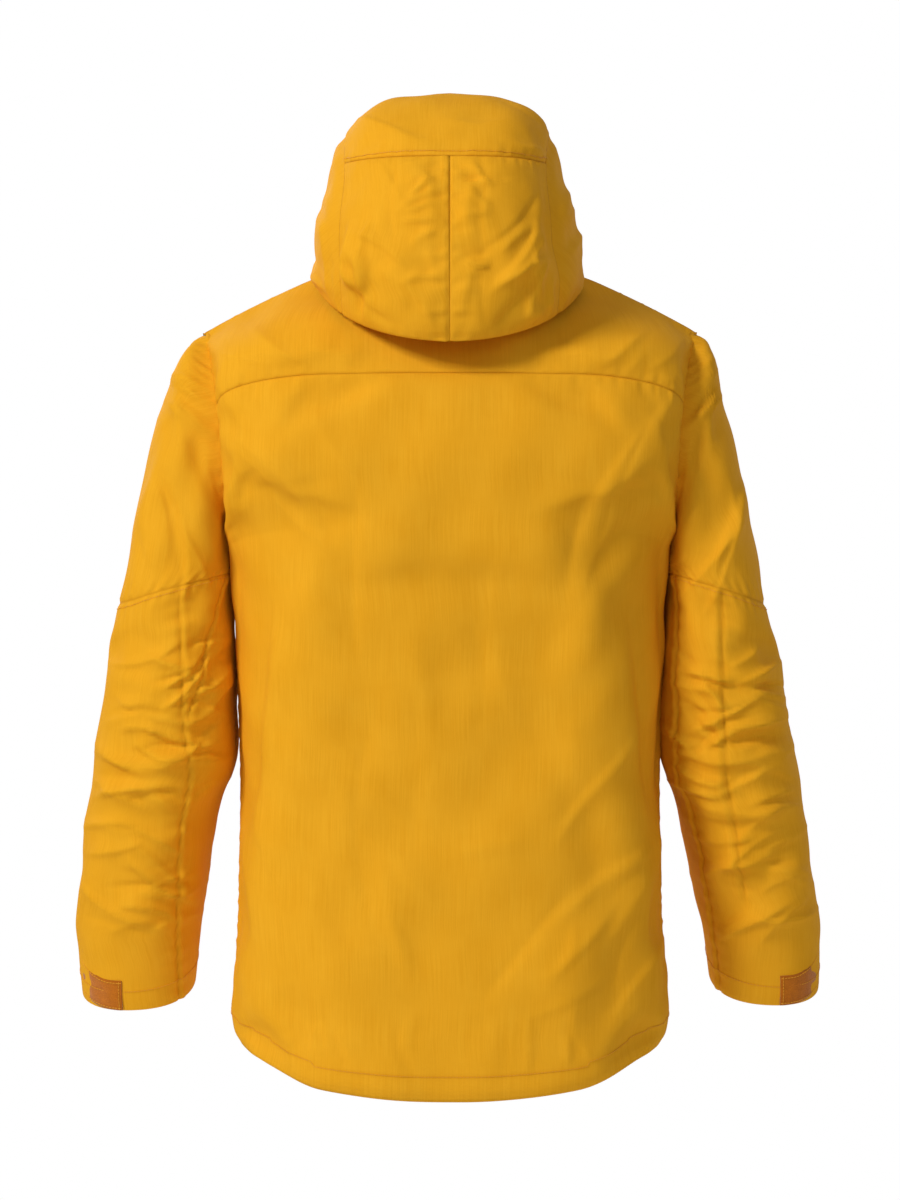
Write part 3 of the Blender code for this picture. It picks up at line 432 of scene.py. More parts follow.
def hungSleeve(points, side):
    # Moves a sleeve's inner and outer edge by their own tables, and shares that out between them
    z = points[..., 2]
    rows = np.array(sleeveRows)[::-1]
    outer = np.interp(z, rows[:, 1], rows[:, 0])
    inner = np.interp(z, rows[:, 3], rows[:, 2])
    share = np.clip((np.abs(points[..., 0]) - inner) / (outer - inner), 0, 1)
    moved = points.copy()
    moved[..., 0] += readHang(side + "Inner", z) * (1 - share) + readHang(side + "Outer", z) * share
    moved[..., 2] -= hang[side + "Drop"] * smooth((-0.55 - z) / 0.12)
    return moved


def hungShoulder(points):
    # The body's sides, shoulders, hem corners and armholes
    moved = points.copy()
    x = points[..., 0]
    waist = smooth((-0.28 - points[..., 2]) / 0.10)
    moved[..., 0] += hang["waistOut"] * np.sin(np.clip(x / 0.19, -1, 1) * np.pi / 2) * waist
    lift = np.where(x > 0, hang["shoulderLeft"], hang["shoulderRight"])
    high = smooth((points[..., 2] + 0.12) / 0.06)
    moved[..., 2] += lift * smooth((np.abs(x) - 0.09) / 0.06) * high
    low = smooth((-0.70 - points[..., 2]) / 0.06) * smooth((np.abs(x) - 0.12) / 0.09)
    moved[..., 2] += hang["hemLift"] * low
    moved[..., 0] -= hang["hemIn"] * np.sign(x) * low
    # Body and sleeve rise together to the armhole seam, at the back
    ridge = np.exp(-((np.abs(x) - hang["armholeX"]) / hang["ridgeWidth"]) ** 2)
    ridge *= smooth((points[..., 2] + 0.30) / 0.06)
    ridge *= smooth((-0.062 - points[..., 2]) / 0.04) * smooth((points[..., 1] + 0.015) / 0.025)
    moved[..., 1] += hang["armholeLift"] * ridge
    return moved


def hungHood(points):
    # The hood leans, and is drawn in above its lower edge
    moved = points.copy()
    x, z = points[..., 0], points[..., 2]
    height = smooth((z + 0.01) / 0.05) * smooth((0.175 - z) / 0.05)
    moved[..., 0] += hang["hoodRight"] * smooth((-x - 0.03) / 0.08) * height
    waist = np.exp(-((z - hang["waistZ"]) / 0.035) ** 2)
    moved[..., 0] -= hang["hoodWaist"] * np.sign(x) * smooth(np.abs(x) / 0.10) * waist
    return moved


# Grids of points on a surface, and what happens to them

def stopsBetween(first, last, length, cell, edges=(True, True)):
    # Even cells, with finer ones beside an edge that is sewn
    fine = [0.0, 0.0008, 0.0018, 0.0030, 0.0046]
    inner = list(np.linspace(0, 1, max(3, int(round(length / cell)) + 1)) * length)
    start = fine if edges[0] else [0.0]
    end = [length - value for value in reversed(fine)] if edges[1] else [length]
    middle = [value for value in inner if start[-1] + cell * 0.6 < value < end[0] - cell * 0.6]
    return first + (last - first) * np.array(start + middle + end) / length


def gridOn(surface, firstStops, secondStops, mirrored=False):
    first, second = np.meshgrid(firstStops, secondStops, indexing="ij")
    points = surface(first.ravel(), second.ravel()).reshape(*first.shape, 3)
    points[..., 1] += jacket["armPlaneY"]
    if mirrored:
        points[..., 0] *= -1
    return points


def gridNormals(points, core):
    # Unit normals of a grid, on the side away from the core
    along = np.gradient(points, axis=0)
    over = np.gradient(points, axis=1)
    normal = np.cross(along, over)
    normal /= np.maximum(np.linalg.norm(normal, axis=-1, keepdims=True), 1e-12)
    facing = np.sum(normal * (points - core), axis=-1).mean()
    return normal if facing > 0 else -normal


def closedNormals(points, core):
    wide = np.concatenate([points[-3:-1], points, points[1:3]])
    return gridNormals(wide, core)[2:-2]


def arcs(points):
    # Distance of each point from the grid's first and last column, and from its first and last row
    across = np.linalg.norm(np.diff(points, axis=0), axis=-1)
    along = np.linalg.norm(np.diff(points, axis=1), axis=-1)
    first = np.concatenate([np.zeros((1, points.shape[1])), np.cumsum(across, axis=0)])
    second = np.concatenate([np.zeros((points.shape[0], 1)), np.cumsum(along, axis=1)], axis=1)
    return first, first[-1] - first, second, second[:, -1:] - second


def ripple(points, length, seed, count=7):
    # Soft uneven waves in space, about one unit high, that repeat at roughly the given length
    chance = np.random.default_rng(seed)
    total = np.zeros(points.shape[:-1])
    for _ in range(count):
        way = chance.normal(size=3)
        way *= 2 * np.pi / (length * chance.uniform(0.7, 1.5) * np.linalg.norm(way))
        total += np.sin(points @ way + chance.uniform(0, 6.3))
    return total / math.sqrt(count)


def foldField(points, folds):
    # Each fold is a line of x, z points with a width and a height, dying away at its ends
    field = np.zeros(points.shape[:-1])
    flat = points[..., [0, 2]]
    for line, width, height in folds:
        line = np.array(line, float)
        lengths = np.linalg.norm(np.diff(line, axis=0), axis=1)
        total, passed = lengths.sum(), 0.0
        nearest = np.full(field.shape, 1e9)
        place = np.zeros(field.shape)
        for start, end, length in zip(line[:-1], line[1:], lengths):
            way = (end - start) / length
            along = np.clip((flat - start) @ way, 0, length)
            gap = np.linalg.norm(flat - start - along[..., None] * way, axis=-1)
            closer = gap < nearest
            nearest = np.where(closer, gap, nearest)
            place = np.where(closer, passed + along, place)
            passed += length
        ends = smooth(place / total * 3) * smooth((1 - place / total) * 3)
        field += height * np.exp(-(nearest / width) ** 2) * (0.15 + 0.85 * ends)
    return field


creaseLook = {"strength": 1.8, "reach": 0.8, "round": 0.0012, "steep": 0.3}


def creaseField(points, groups, mirrored=False):
    # Short crisp creases, steep on one side and easy on the other, scattered over parts of a panel
    field = np.zeros(points.shape[:-1])
    flat = points[..., [0, 2]] * np.array([-1 if mirrored else 1, 1])
    crest = creaseLook["round"]
    for group in groups:
        chance = np.random.default_rng(group["seed"] + 100 * mirrored)
        for _ in range(group["count"]):
            centre = np.array(group["at"]) + np.array(group["spread"]) * chance.uniform(-1, 1, 2)
            angle = math.radians(group["angle"] + group["sway"] * chance.uniform(-1, 1))
            reach = creaseLook["reach"] * chance.uniform(*group["length"])
            height = creaseLook["strength"] * group["height"] * chance.uniform(0.45, 1.1)
            height = height * chance.choice([1, 1, -0.7])
            easy = group["easy"] * chance.uniform(0.5, 1.0)
            bow = chance.uniform(-0.3, 0.3) / reach
            way = np.array([math.cos(angle), math.sin(angle)])
            along = (flat - centre) @ way
            over = (flat - centre) @ np.array([-way[1], way[0]]) - bow * along ** 2
            over = over * chance.choice([1, -1])
            taper = smooth(1.6 * (1.0 - np.abs(along) / reach))
            rise = np.sqrt(over ** 2 + crest ** 2) - crest
            fall = np.where(over > 0, easy * creaseLook["steep"], easy)
            field += height * taper * np.exp(-rise / fall)
    return field


def seamField(arc, seams, roll=0.0008, width=0.0017, pucker=0.0007, pitch=0.013, seed=1):
    # Sewn edges turn in, and the cloth beside them puckers; line is painted shade along each sewn
    # edge
    chance = np.random.default_rng(seed)
    fromFirst, toLast, fromLow, toHigh = arc
    field = np.zeros(fromFirst.shape)
    line = np.zeros(fromFirst.shape)
    sides = ((fromFirst, fromLow), (toLast, fromLow), (fromLow, fromFirst), (toHigh, fromFirst))
    for sewn, (gap, along) in zip(seams, sides):
        if sewn:
            phase = along / pitch * 2 * np.pi
            wave = (np.sin(phase + chance.uniform(0, 6)) + 0.7 * np.sin(phase * 0.61 + 2)
                    + 0.5 * np.sin(phase * 1.7 + chance.uniform(0, 6)))
            field -= roll * sewn * np.exp(-(gap / width) ** 2)
            field += pucker * sewn * wave * np.exp(-(gap / 0.011) ** 2) * smooth(gap / 0.003)
            # line: painted shade along each sewn edge, read by the cloth's finish
            line = np.maximum(line, min(sewn, 1.0) * np.exp(-(gap / 0.0010) ** 2))
    return field, line


def resample(values, first, second):
    # Smooth reading of an even grid of values at shares of its two sides
    held = splineThrough(values.reshape(len(values), 1, -1), first * (len(values) - 1))
    held = held.reshape(len(first), values.shape[1], values.shape[2])
    turned = held.transpose(1, 0, 2).reshape(values.shape[1], 1, -1)
    held = splineThrough(turned, second * (values.shape[1] - 1))
    return held.reshape(len(second), len(first), values.shape[2]).transpose(1, 0, 2)


def patternMesh(name, points, attributes=(), closed=False, keep=None):
    # A grid bent onto the points, with its own measured pattern as the UV map
    across, along = points.shape[0], points.shape[1]
    grid = bmesh.new()
    bmesh.ops.create_grid(grid, x_segments=across - 1, y_segments=along - 1, size=0.5)
    data = bpy.data.meshes.new(name)
    grid.to_mesh(data)
    grid.free()
    flat = np.empty(len(data.vertices) * 3, np.float32)
    data.vertices.foreach_get("co", flat)
    flat = flat.reshape(-1, 3)
    first = np.rint((flat[:, 0] + 0.5) * (across - 1)).astype(int)
    second = np.rint((flat[:, 1] + 0.5) * (along - 1)).astype(int)
    fromFirst, toLast, fromLow, _ = arcs(points)
    pattern = np.stack([(fromFirst - toLast) / 2, fromLow], -1)[first, second]
    data.vertices.foreach_set("co", points[first, second].astype(np.float32).ravel())
    corner = np.empty(len(data.loops), np.int32)
    data.loops.foreach_get("vertex_index", corner)
    layer = data.uv_layers.new(name="pattern")
    layer.data.foreach_set("uv", pattern[corner].astype(np.float32).ravel())
    for title, values in attributes:
        kind = "FLOAT" if values.ndim == 2 else "FLOAT_VECTOR"
        made = data.attributes.new(title, kind, "POINT")
        field = "value" if values.ndim == 2 else "vector"
        made.data.foreach_set(field, values[first, second].astype(np.float32).ravel())
    if keep is not None:
        middle = np.empty(len(data.polygons) * 4, np.int32)
        data.polygons.foreach_get("vertices", middle)
        share = second[middle].reshape(-1, 4).mean(axis=1)
        data.polygons.foreach_set("material_index", keep(share).astype(np.int32))
    if closed:
        ring = bmesh.new()
        ring.from_mesh(data)
        bmesh.ops.remove_doubles(ring, verts=ring.verts[:], dist=0.00002)
        ring.to_mesh(data)
        ring.free()
    data.update()
    return data


def newPiece(name, data, looks, wall=None, offset=-1.0):
    piece = bpy.data.objects.new(name, data)
    bpy.context.collection.objects.link(piece)
    for look in looks:
        data.materials.append(look)
    data.shade_smooth()
    if wall:
        thick = piece.modifiers.new("Wall", "SOLIDIFY")
        thick.thickness = wall
        thick.offset = offset
        thick.use_even_offset = False
        if len(looks) > 1:
            thick.material_offset = 1
            thick.material_offset_rim = 0
    return piece


settleLook = {
    "cell": 0.009,         # spacing of the coarse grid that settles
    "mass": 0.2,
    "quality": 5,
    "stretch": 12,
    "shear": 4,
    "damping": 4,
}


def settle(name, points, pins, growth, pressure, cap, closed=False, frames=18, bending=0.6,
           smoothing=1):
    # Let a panel that was cut slightly too large settle between its seams
    still = np.zeros_like(points)
    data = patternMesh(name, points, (("pinned", pins), ("first", np.repeat(
        np.arange(points.shape[0], dtype=float)[:, None], points.shape[1], 1)),
        ("second", np.repeat(np.arange(points.shape[1], dtype=float)[None], points.shape[0], 0))),
        closed)
    piece = bpy.data.objects.new(name, data)
    bpy.context.collection.objects.link(piece)
    count = len(data.vertices)
    weight, first, second = (np.empty(count, np.float32) for _ in range(3))
    data.attributes["pinned"].data.foreach_get("value", weight)
    data.attributes["first"].data.foreach_get("value", first)
    data.attributes["second"].data.foreach_get("value", second)
    group = piece.vertex_groups.new(name="pinned")
    for share in np.unique(np.round(weight, 2)):
        if share > 0:
            group.add(np.nonzero(np.round(weight, 2) == share)[0].tolist(), float(share), "REPLACE")
    cloth = piece.modifiers.new("Cloth", "CLOTH")
    cloth.settings.quality = settleLook["quality"]
    cloth.settings.mass = settleLook["mass"]
    cloth.settings.tension_stiffness = settleLook["stretch"]
    cloth.settings.compression_stiffness = settleLook["stretch"]
    cloth.settings.shear_stiffness = settleLook["shear"]
    cloth.settings.bending_stiffness = bending
    cloth.settings.air_damping = settleLook["damping"]
    cloth.settings.vertex_group_mass = "pinned"
    cloth.settings.shrink_min = -growth
    cloth.settings.use_pressure = pressure != 0
    cloth.settings.uniform_pressure_force = pressure
    cloth.settings.effector_weights.gravity = 0.0
    cloth.collision_settings.use_collision = False
    cloth.point_cache.frame_start = 1
    cloth.point_cache.frame_end = frames
    scene = bpy.context.scene
    for step in range(1, frames + 1):
        scene.frame_set(step)
    solved = piece.evaluated_get(bpy.context.evaluated_depsgraph_get()).data
    moved = np.empty(count * 3, np.float32)
    solved.vertices.foreach_get("co", moved)
    moved = moved.reshape(-1, 3)
    scene.frame_set(1)
    bpy.data.objects.remove(piece, do_unlink=True)
    shift = still.copy()
    first, second = first.astype(int), second.astype(int)
    shift[first, second] = moved - points[first, second]
    if closed:
        shift[-1] = shift[0]
    for _ in range(smoothing):
        shift[:, 1:-1] = (shift[:, :-2] + 2 * shift[:, 1:-1] + shift[:, 2:]) / 4
        shift[1:-1] = (shift[:-2] + 2 * shift[1:-1] + shift[2:]) / 4
        if closed:
            shift[0] = shift[-1] = (shift[1] + shift[0] + shift[-1] + shift[-2]) / 4
    size = np.linalg.norm(shift, axis=-1, keepdims=True)
    shift *= cap * np.tanh(size / cap) / np.maximum(size, 1e-9)
    print("settled", name, "by up to", round(float(size.max()) * 1000, 1), "mm")
    return shift


def edgePins(shape, sides=(1, 1, 1, 1), closed=False):
    pins = np.zeros(shape)
    if not closed:
        pins[0], pins[-1] = sides[0], sides[1]
    pins[:, 0] = np.maximum(pins[:, 0], sides[2])
    pins[:, -1] = np.maximum(pins[:, -1], sides[3])
    return pins


def stitchRow(mesh, points, normals, pitch=0.0034, length=0.0024, width=0.00055, lift=0.00035):
    # A row of short threads, lying on the cloth along a line of points
    steps = np.linalg.norm(np.diff(points, axis=0), axis=1)
    passed = np.concatenate([[0], np.cumsum(steps)])
    for at in np.arange(pitch / 2, passed[-1], pitch):
        centre = np.array([np.interp(at, passed, points[:, axis]) for axis in range(3)])
        ahead = np.array([np.interp(at + pitch / 3, passed, points[:, axis]) for axis in range(3)])
        up = np.array([np.interp(at, passed, normals[:, axis]) for axis in range(3)])
        way = ahead - centre
        if np.linalg.norm(way) < 1e-6:
            continue
        way /= np.linalg.norm(way)
        side = np.cross(up, way)
        side /= np.linalg.norm(side)
        up = np.cross(way, side)
        turn = Matrix((way, side, up)).transposed().to_4x4()
        size = Matrix.Diagonal((length, width, width, 1))
        place = Matrix.Translation(Vector(centre + up * lift)) @ turn @ size
        bmesh.ops.create_cube(mesh, size=1.0, matrix=place)


# Finishes

def linear(hexColour):
    parts = [int(hexColour[index:index + 2], 16) / 255 for index in (1, 3, 5)]
    return tuple(part / 12.92 if part <= 0.04045 else ((part + 0.055) / 1.055) ** 2.4
                 for part in parts) + (1.0,)


def addNode(tree, kind, settings=None, values=None, links=None):
    node = tree.nodes.new(kind)
    for key, value in (settings or {}).items():
        setattr(node, key, value)
    for key, value in (values or {}).items():
        node.inputs[key].default_value = value
    for key, source in (links or {}).items():
        tree.links.new(source, node.inputs[key])
    return node


def newMaterial(name, hexColour, roughness, metallic=0.0, **sockets):
    made = bpy.data.materials.new(name)
    made.use_nodes = True
    shader = made.node_tree.nodes["Principled BSDF"]
    shader.inputs["Base Color"].default_value = linear(hexColour)
    shader.inputs["Roughness"].default_value = roughness
    shader.inputs["Metallic"].default_value = metallic
    for key, value in sockets.items():
        shader.inputs[key].default_value = value
    return made, made.node_tree, shader


wovenShell = {
    "light": "#eaa822",
    "deep": "#e29d17",
    # seam: colour of the painted shade laid along seam and stitch lines
    "seam": "#c07b0c",
    "threadMm": 0.9,         # drawn coarser than the cloth's own threads, to show at all
    "streakMm": 60.0,        # how far one thread's shade runs along it
    "mottleMm": 45.0,
    "roughness": 0.80,
    "sheen": 0.0,
    "gloss": 0.09,
}


def makeWoven(name, look, paintSeamShade=True):
    # Matte woven polyester: upright slubs a thread wide, a faint plain weave, and painted shade
    # along its seam lines
    made, tree, shader = newMaterial(name, look["light"], look["roughness"])
    shader.inputs["Sheen Weight"].default_value = look["sheen"]
    shader.inputs["Sheen Roughness"].default_value = 0.45
    shader.inputs["IOR"].default_value = 1.45
    shader.inputs["Specular IOR Level"].default_value = look["gloss"]
    pattern = addNode(tree, "ShaderNodeUVMap", {"uv_map": "pattern"})
    thread = 1000 / look["threadMm"]
    streak = addNode(tree, "ShaderNodeMapping", values={
        "Scale": (thread, 1000 / look["streakMm"], 1)}, links={"Vector": pattern.outputs["UV"]})
    slub = addNode(tree, "ShaderNodeTexNoise", values={"Scale": 1.0, "Detail": 3.0,
                   "Roughness": 0.6}, links={"Vector": streak.outputs["Vector"]})
    cloud = addNode(tree, "ShaderNodeMapping", values={
        "Scale": (1000 / look["mottleMm"],) * 3}, links={"Vector": pattern.outputs["UV"]})
    mottle = addNode(tree, "ShaderNodeTexNoise", values={"Scale": 1.0, "Detail": 4.0},
                     links={"Vector": cloud.outputs["Vector"]})
    both = addNode(tree, "ShaderNodeMath", {"operation": "MULTIPLY_ADD"}, {1: 0.70},
                   {0: slub.outputs["Fac"]})
    spread = addNode(tree, "ShaderNodeMath", {"operation": "MULTIPLY"}, {1: 0.30},
                     {0: mottle.outputs["Fac"]})
    tree.links.new(spread.outputs[0], both.inputs[2])
    ramp = addNode(tree, "ShaderNodeValToRGB", links={"Fac": both.outputs[0]})
    ramp.color_ramp.elements[0].position = 0.36
    ramp.color_ramp.elements[0].color = linear(look["deep"])
    ramp.color_ramp.elements[1].position = 0.62
    ramp.color_ramp.elements[1].color = linear(look["light"])
    colour = ramp.outputs["Color"]
    # Painted shade: the seam colour is mixed in along the seam lines, standing in for shade in
    # their grooves
    if paintSeamShade:
        line = addNode(tree, "ShaderNodeAttribute", {"attribute_name": "seamLine"})
        share = addNode(tree, "ShaderNodeMath", {"operation": "MULTIPLY"}, {1: 0.55},
                        {0: line.outputs["Fac"]})
        # The node's sockets 0, 6 and 7 are its share and its two colours
        mix = addNode(tree, "ShaderNodeMix", {"data_type": "RGBA"}, {7: linear(look["seam"])},
                      {0: share.outputs[0], 6: colour})
        colour = mix.outputs[2]
    tree.links.new(colour, shader.inputs["Base Color"])
    warp = addNode(tree, "ShaderNodeMapping", values={"Scale": (thread * 0.5, thread * 0.5, 1)},
                   links={"Vector": pattern.outputs["UV"]})
    upright = addNode(tree, "ShaderNodeTexWave", {"bands_direction": "X"}, {
        "Scale": 1.0, "Distortion": 0.6}, {"Vector": warp.outputs["Vector"]})
    level = addNode(tree, "ShaderNodeTexWave", {"bands_direction": "Y"}, {
        "Scale": 1.0, "Distortion": 0.6}, {"Vector": warp.outputs["Vector"]})
    weave = addNode(tree, "ShaderNodeMath", {"operation": "MULTIPLY_ADD"}, {1: 0.5}, {
        0: level.outputs["Fac"], 2: upright.outputs["Fac"]})
    rough = addNode(tree, "ShaderNodeMath", {"operation": "MULTIPLY_ADD"}, {1: 0.8}, {
        0: slub.outputs["Fac"], 2: weave.outputs[0]})
    bump = addNode(tree, "ShaderNodeBump", values={"Strength": 0.35, "Distance": 0.00025},
                   links={"Height": rough.outputs[0]})
    tree.links.new(bump.outputs["Normal"], shader.inputs["Normal"])
    return made


def makeObjectGrain(name, hexColour, other, roughness, grainMm, depth, metallic=0.0, stretch=1.0,
                    **sockets):
    # A fine grain on the part's own place, for moulded, painted and narrow woven trims
    made, tree, shader = newMaterial(name, hexColour, roughness, metallic, **sockets)
    place = addNode(tree, "ShaderNodeTexCoord")
    size = 1000 / grainMm
    scaled = addNode(tree, "ShaderNodeMapping", values={"Scale": (size, size, size * stretch)},
                     links={"Vector": place.outputs["Object"]})
    grain = addNode(tree, "ShaderNodeTexNoise", values={"Scale": 1.0, "Detail": 3.0},
                    links={"Vector": scaled.outputs["Vector"]})
    ramp = addNode(tree, "ShaderNodeValToRGB", links={"Fac": grain.outputs["Fac"]})
    ramp.color_ramp.elements[0].position = 0.35
    ramp.color_ramp.elements[0].color = linear(other)
    ramp.color_ramp.elements[1].position = 0.65
    ramp.color_ramp.elements[1].color = linear(hexColour)
    tree.links.new(ramp.outputs["Color"], shader.inputs["Base Color"])
    worn = addNode(tree, "ShaderNodeMapRange", values={"To Min": roughness - 0.06,
                   "To Max": roughness + 0.08}, links={"Value": grain.outputs["Fac"]})
    tree.links.new(worn.outputs["Result"], shader.inputs["Roughness"])
    bump = addNode(tree, "ShaderNodeBump", values={"Strength": 0.5, "Distance": depth},
                   links={"Height": grain.outputs["Fac"]})
    tree.links.new(bump.outputs["Normal"], shader.inputs["Normal"])
    return made


# Each look's seam colour is the painted shade along its seam lines
liningLook = dict(wovenShell, light="#2c2d30", deep="#1f2023", seam="#0c0c0d", threadMm=0.9,
                  streakMm=9.0, roughness=0.48, sheen=0.05, gloss=0.4)
skirtLook = dict(wovenShell, light="#3a3b3f", deep="#2b2c30", seam="#0c0c0d", threadMm=1.3,
                 streakMm=5.0, roughness=0.62, sheen=0.10)
pileLook = dict(wovenShell, light="#c9730f", deep="#a85a08", seam="#7a3f04", threadMm=1.0,
                streakMm=1.4, mottleMm=7.0, roughness=0.95, sheen=0.35)

# Matt woven face with fine upright streaks, with painted shade in its seam lines
shellCloth = makeWoven("woven_polyester_shell", wovenShell)
# Smooth dark taffeta, with a slight shine
liningCloth = makeWoven("taffeta_lining", liningLook)
# Duller grey cloth that stretches, with a coarser thread
skirtCloth = makeWoven("stretch_powder_skirt", skirtLook)
# Brushed pile: blotchy, deeper in colour and without shine
loopPile = makeWoven("brushed_loop_pile", pileLook)
# Bonded thread, a shade deeper than the cloth it holds
thread = makeObjectGrain("polyester_thread", "#e8a31f", "#d8920f", 0.6, 0.5, 0.00005)
# Woven tape with its ribs across
zipTape = makeObjectGrain("woven_zip_tape", "#e09a1f", "#c98412", 0.75, 0.8, 0.0001, stretch=0.4)
# Nylon coil, drawn and wound, with a soft shine
zipCoil = makeObjectGrain("nylon_coil", "#d99520", "#c07f10", 0.38, 0.7, 0.00004)
# Zinc die casting under black paint
castMetal = makeObjectGrain("painted_zinc", "#2b2b2d", "#1c1c1e", 0.36, 0.6, 0.00003, metallic=0.9)
# Rubber, moulded against a finely blasted surface
mouldedRubber = makeObjectGrain("moulded_rubber", "#cf8417", "#bd740d", 0.55, 0.5, 0.00006)
cuffRubber = makeObjectGrain("moulded_cuff_tab", "#d68b18", "#c47a0e", 0.58, 0.5, 0.00006)
# Ribbon with a rib to each thread, and a flat satin label with nothing on it
ribbon = makeObjectGrain("woven_ribbon", "#242426", "#151517", 0.8, 0.6, 0.0001, stretch=0.3)
labelCloth = makeObjectGrain("satin_label", "#8d8d90", "#77777a", 0.5, 0.7, 0.00005)
print("finishes made")


def refinish(name, look):
    for slot in bpy.data.objects[name].material_slots:
        slot.link = "DATA"
        slot.material = look


for name, look in (
        ("hanger_loop", ribbon), ("neck_label", labelCloth), ("zip_tape_left", zipTape),
        ("zip_tape_right", zipTape), ("pocket_zip_left", zipTape), ("pocket_zip_right", zipTape),
        ("zip_stop", castMetal), ("main_slider", castMetal), ("pocket_slider_left", castMetal),
        ("pocket_slider_right", castMetal), ("main_puller", mouldedRubber),
        ("skirt_snap_left", castMetal), ("skirt_snap_right", castMetal),
        ("hem_eyelet_left", castMetal), ("hem_eyelet_right", castMetal),
        ("hood_eyelet_left", castMetal), ("hood_eyelet_right", castMetal)):
    refinish(name, look)


# Panels of cloth, each one a bent grid with its folds, seams and hems

coreTorso = np.array([0.0, -0.045, -0.35])
coreHood = np.array([0.0, -0.045, 0.04])


def sewRows(points, normals, arc, line, stitches):
    # Rows of thread beside the edges, and painted shade along the line that they press into the
    # cloth
    threads = bmesh.new()
    for side, gap in stitches:
        distance = arc[side]
        axis = 0 if side < 2 else 1
        index = np.argmin(np.abs(distance - gap), axis=axis)
        pick = np.arange(distance.shape[1 - axis])
        row = points[index, pick] if axis == 0 else points[pick, index]
        up = normals[index, pick] if axis == 0 else normals[pick, index]
        stitchRow(threads, row[1:-1], up[1:-1])
        # painted shade along the stitch row's pressed line
        line = np.maximum(line, 0.35 * np.exp(-((distance - gap) / 0.0012) ** 2))
    return threads, line


def turnHem(points, normals, line, fromLow, hem):
    # The hem turns under: its rows run back up behind the face
    rows = int(np.searchsorted(fromLow[len(fromLow) // 2], hem))
    under = points[:, 1:rows][:, ::-1] - normals[:, 1:rows][:, ::-1] * 0.0042
    turn = points[:, :1] - normals[:, :1] * 0.0021 + np.array([0, 0, -0.0008])
    points = np.concatenate([under, turn, points], axis=1)
    line = np.concatenate([line[:, 1:rows][:, ::-1] * 0, line[:, :1] * 0, line], axis=1)
    normals = np.concatenate([-normals[:, 1:rows][:, ::-1], normals[:, :1], normals], axis=1)
    return points, normals, line


def clothPanel(name, surface, firstSpan, secondSpan, look, seams=(1, 1, 1, 1), cell=0.004,
               core=coreTorso, folds=(), soft=(0.0012, 0.07), growth=0.0, cap=0.005,
               depth=0.0, wall=jacket["shellWall"], inner=None, mirrored=False, hem=0.0,
               stitches=(), seed=3, pressure=0.0, body="torso", pucker=0.0004, extra=None,
               roll=0.0008, hung=None, creases=(), held="hung", rests=()):
    # surface and its two spans say where the cloth lies. seams says how firmly its first, last,
    # lower and upper edge are sewn, stitches which edge a row of thread follows, and how far in
    probe = gridOn(surface, np.linspace(*firstSpan, 24), np.linspace(*secondSpan, 24), mirrored)
    fromFirst, _, fromLow, _ = arcs(probe)
    width, length = float(fromFirst[-1].max()), float(fromLow[:, -1].max())
    firstStops = stopsBetween(*firstSpan, width, cell, (bool(seams[0]), bool(seams[1])))
    secondStops = stopsBetween(*secondSpan, length, cell, (bool(seams[2]), bool(seams[3])))
    points = gridOn(surface, firstStops, secondStops, mirrored)
    points = hung(points) if hung else points
    normals = gridNormals(points, core)
    arc = arcs(points)
    shift = np.zeros_like(points)
    if growth:
        counts = [max(8, int(size / settleLook["cell"])) for size in (width, length)]
        coarse = gridOn(surface, np.linspace(*firstSpan, counts[0]),
                        np.linspace(*secondSpan, counts[1]), mirrored)
        moved = settle(name + "_cloth", coarse, edgePins(coarse.shape[:2]), growth, pressure, cap)
        shift = resample(moved, (firstStops - firstSpan[0]) / (firstSpan[1] - firstSpan[0]),
                         (secondStops - secondSpan[0]) / (secondSpan[1] - secondSpan[0]))
    relief, line = seamField(arc, seams, pucker=pucker, seed=seed, roll=roll)
    inside = smooth(np.minimum.reduce([arc[index] if seams[index] else np.full(arc[0].shape, 1.0)
                                       for index in range(4)]) / 0.022)
    relief = relief + soft[0] * ripple(points, soft[1], seed) * inside
    relief = relief + (foldField(points, folds) + creaseField(points, creases, mirrored)) * inside
    if extra is not None:
        relief = relief + extra(points, arc)
    points = points + shift + normals * (relief - depth)[..., None]
    normals = gridNormals(points, core)
    threads, line = sewRows(points, normals, arc, line, stitches)
    if hem:
        points, normals, line = turnHem(points, normals, line, arc[2], hem)
    facing = np.cross(np.gradient(points, axis=0), np.gradient(points, axis=1))
    if np.sum(facing[:, -5:] * normals[:, -5:]) < 0:
        points, line = points[::-1], line[::-1]
    data = patternMesh(name, points, (("seamLine", line),))
    piece = newPiece(name, data, [look] + ([inner] if inner else []), wall)
    sewn = None
    if len(threads.verts):
        stitched = bpy.data.meshes.new(name + "_stitches")
        threads.to_mesh(stitched)
        sewn = newPiece(name + "_stitches", stitched, [thread])
        stitched.shade_flat()
    threads.free()
    if body:
        for item in filter(None, (piece, sewn)):
            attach(item, body)
    return piece, sewn


